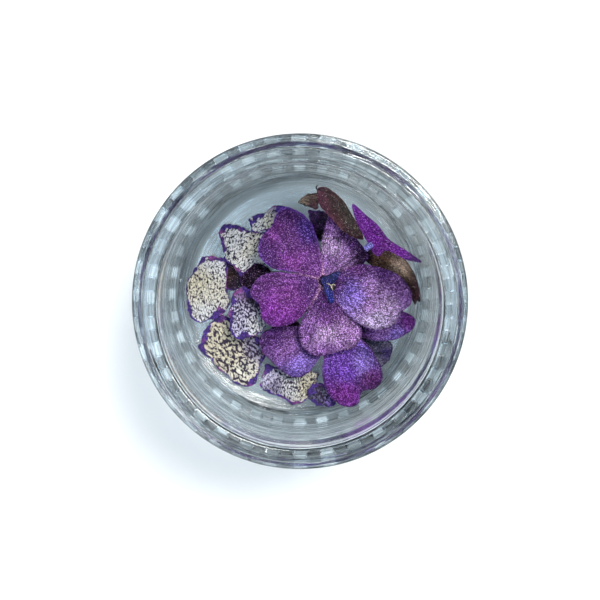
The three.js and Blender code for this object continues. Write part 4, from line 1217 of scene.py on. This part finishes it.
def lie(edge, shape):
    """Height of a petal that lies: over the glass, with its slope, dome and waved edge, as on its solid."""
    middle = edge.mean(axis=0)
    seat = SEAT_GAP + SOLID_THICKNESS / 2
    slope, wave = shape.get("slope", (0, 0)), shape.get("wave", 0.25)

    def place(x, y, share):
        turn = np.arctan2(y - middle[1], x - middle[0])
        tilt = slope[0] * (x - middle[0]) + slope[1] * (y - middle[1])
        height = shape["lift"] + tilt + shape["dome"] * (1 - share**2)
        height = height + wave * share**3 * (1 + np.sin(WAVES_ROUND * turn))
        return glass_z(np.hypot(x, y)) + seat + np.maximum(0, height)

    return place


def build_loose_petals(cream, dry):
    """The bleached and the dark petals that lie on the glass. One with tufts takes the bleached finish."""
    for number, (node, shape) in enumerate(LOOSE_PETALS.items()):
        seed = 90 + 3 * number
        piece = Piece(node + "_blade")
        edge = smooth_outline(shape["edge"], shape["centre"])
        place = lie(edge, shape)
        lay = turned(shape.get("grain", 0), shape.get("mesh", 1.0))
        if "tufts" in shape:
            paint = bleached_paint(shape["dyes"], shape["tufts"], shape.get("dense", ()), seed)
            sheet(piece, edge, place, paint, lay, seed, fray=0.2, crumple=0.2, ruffle=0.35)
            piece.finish(cream, node)
        else:
            width = shape.get("width", 0.1)
            paint = open_petal_paint(shape["dyes"], 0.7, shape["rim"], width=width, seed=seed)
            sheet(piece, edge, place, paint, lay, seed, fray=0.14, crumple=0.22, ruffle=0.15)
            piece.finish(dry, node)


# ------------------------------------------------------------------------------- stage
CAMERA_AT = (0.0, 14.0, 295.0)
CAMERA_TILT = 2.97
FOCAL_PIXELS = 1474.0
FRAME_PIXELS = 600.0
SENSOR_MM = 36.0
LAMPS_AIM = (0, 0, 0.02)
FLOOR_REACH = 6.0
FLOOR_GAP = 0.06


def build_camera():
    """The camera over the jar, tilted a little, at the photograph's distance and viewing angle."""
    lens = bpy.data.cameras.new("overhead")
    lens.sensor_width = SENSOR_MM
    lens.lens = SENSOR_MM * FOCAL_PIXELS / FRAME_PIXELS
    lens.clip_start = 0.01
    camera = place_in_scene("overhead", lens)
    camera.location = Vector(CAMERA_AT) * MM
    camera.rotation_euler = (-math.radians(CAMERA_TILT), 0.0, 0.0)
    bpy.context.scene.camera = camera


def softbox(name, at, size, power, colour):
    """A soft rectangular lamp that faces the jar."""
    lamp = bpy.data.lights.new(name, "AREA")
    lamp.shape = "RECTANGLE"
    lamp.size, lamp.size_y = size
    lamp.energy = power
    lamp.color = colour
    box = place_in_scene(name, lamp)
    box.location = at
    toward = Vector(LAMPS_AIM) - Vector(at)
    box.rotation_euler = toward.to_track_quat("-Z", "Y").to_euler()


def build_studio():
    """The light all round: a pale backdrop, with a dim horizon and a cool sky for the glass to pick up."""
    world = bpy.data.worlds.new("studio")
    world.use_nodes = True
    nodes = Nodes(world.node_tree)
    way = nodes.add("ShaderNodeTexCoord").outputs["Generated"]
    height = nodes.add("ShaderNodeSeparateXYZ", Vector=way).outputs["Z"]
    horizon, zenith, pane = (0.03, 0.035, 0.04, 1), (0.09, 0.115, 0.14, 1), (0.66, 0.88, 1.1, 1)
    sky = nodes.mix(nodes.ramp(height, 0.05, 0.75), horizon, zenith)
    panes = nodes.noise(nodes.vectors("MULTIPLY", way, (1.0, 1.0, 2.6)), 2.2)
    sky = nodes.mix(nodes.ramp(panes, 0.56, 0.6), sky, pane)
    seen = nodes.add("ShaderNodeLightPath").outputs["Is Camera Ray"]
    backdrop = world.node_tree.nodes["Background"]
    nodes.feed(backdrop.inputs["Color"], nodes.mix(seen, sky, (0.82, 0.83, 0.84, 1)))
    bpy.context.scene.world = world


def build_stage():
    """A plain pale floor just under the jar, two soft lamps over it, and two narrow ones for the glass."""
    mesh = bpy.data.meshes.new("floor")
    turns = ((-1, -1), (1, -1), (1, 1), (-1, 1))
    corners = [(x * FLOOR_REACH, y * FLOOR_REACH, -FLOOR_GAP * MM) for x, y in turns]
    mesh.from_pydata(corners, [], [(0, 1, 2, 3)])
    nodes, _ = new_material("pale floor", Base_Color=(0.8, 0.8, 0.79, 1.0), Roughness=0.85)
    mesh.materials.append(nodes.material)
    place_in_scene("floor", mesh)
    softbox("window", (0.5, 0.6, 1.75), (0.8, 0.6), 42.0, (1.0, 0.97, 0.93))
    softbox("sky", (-0.9, -0.7, 1.5), (1.0, 0.8), 20.0, (0.95, 0.97, 1.0))
    softbox("left strip", (-0.105, -0.02, 0.62), (0.09, 0.2), 0.35, (0.66, 0.85, 1.0))
    softbox("right strip", (0.11, -0.03, 0.62), (0.06, 0.12), 0.15, (0.66, 0.85, 1.0))
    build_studio()
    bpy.context.scene.view_settings.view_transform = "Standard"


# ------------------------------------------------------------------------------- the object
build_camera()
build_stage()
build_jar()
petal_finish = petal_material("velvet petal")
dry_finish = petal_material("dry petal", swing=1.9, glint=0.1, roughness=0.5, sheen=0.0, gloss=0.12,
    shine=0.2, bleach=(0.34, 0.24, 0.25), painted_glint_colour=(0.85, 0.8, 0.78))
eye_finish = petal_material("inky eye", glint=0.04, roughness=0.5, sheen=0.0, gloss=0.2)
cream_finish = cream_material()
build_florets(petal_finish)
build_main_eye(eye_finish)
build_wall_floret(petal_finish, dry_finish)
build_loose_petals(cream_finish, dry_finish)
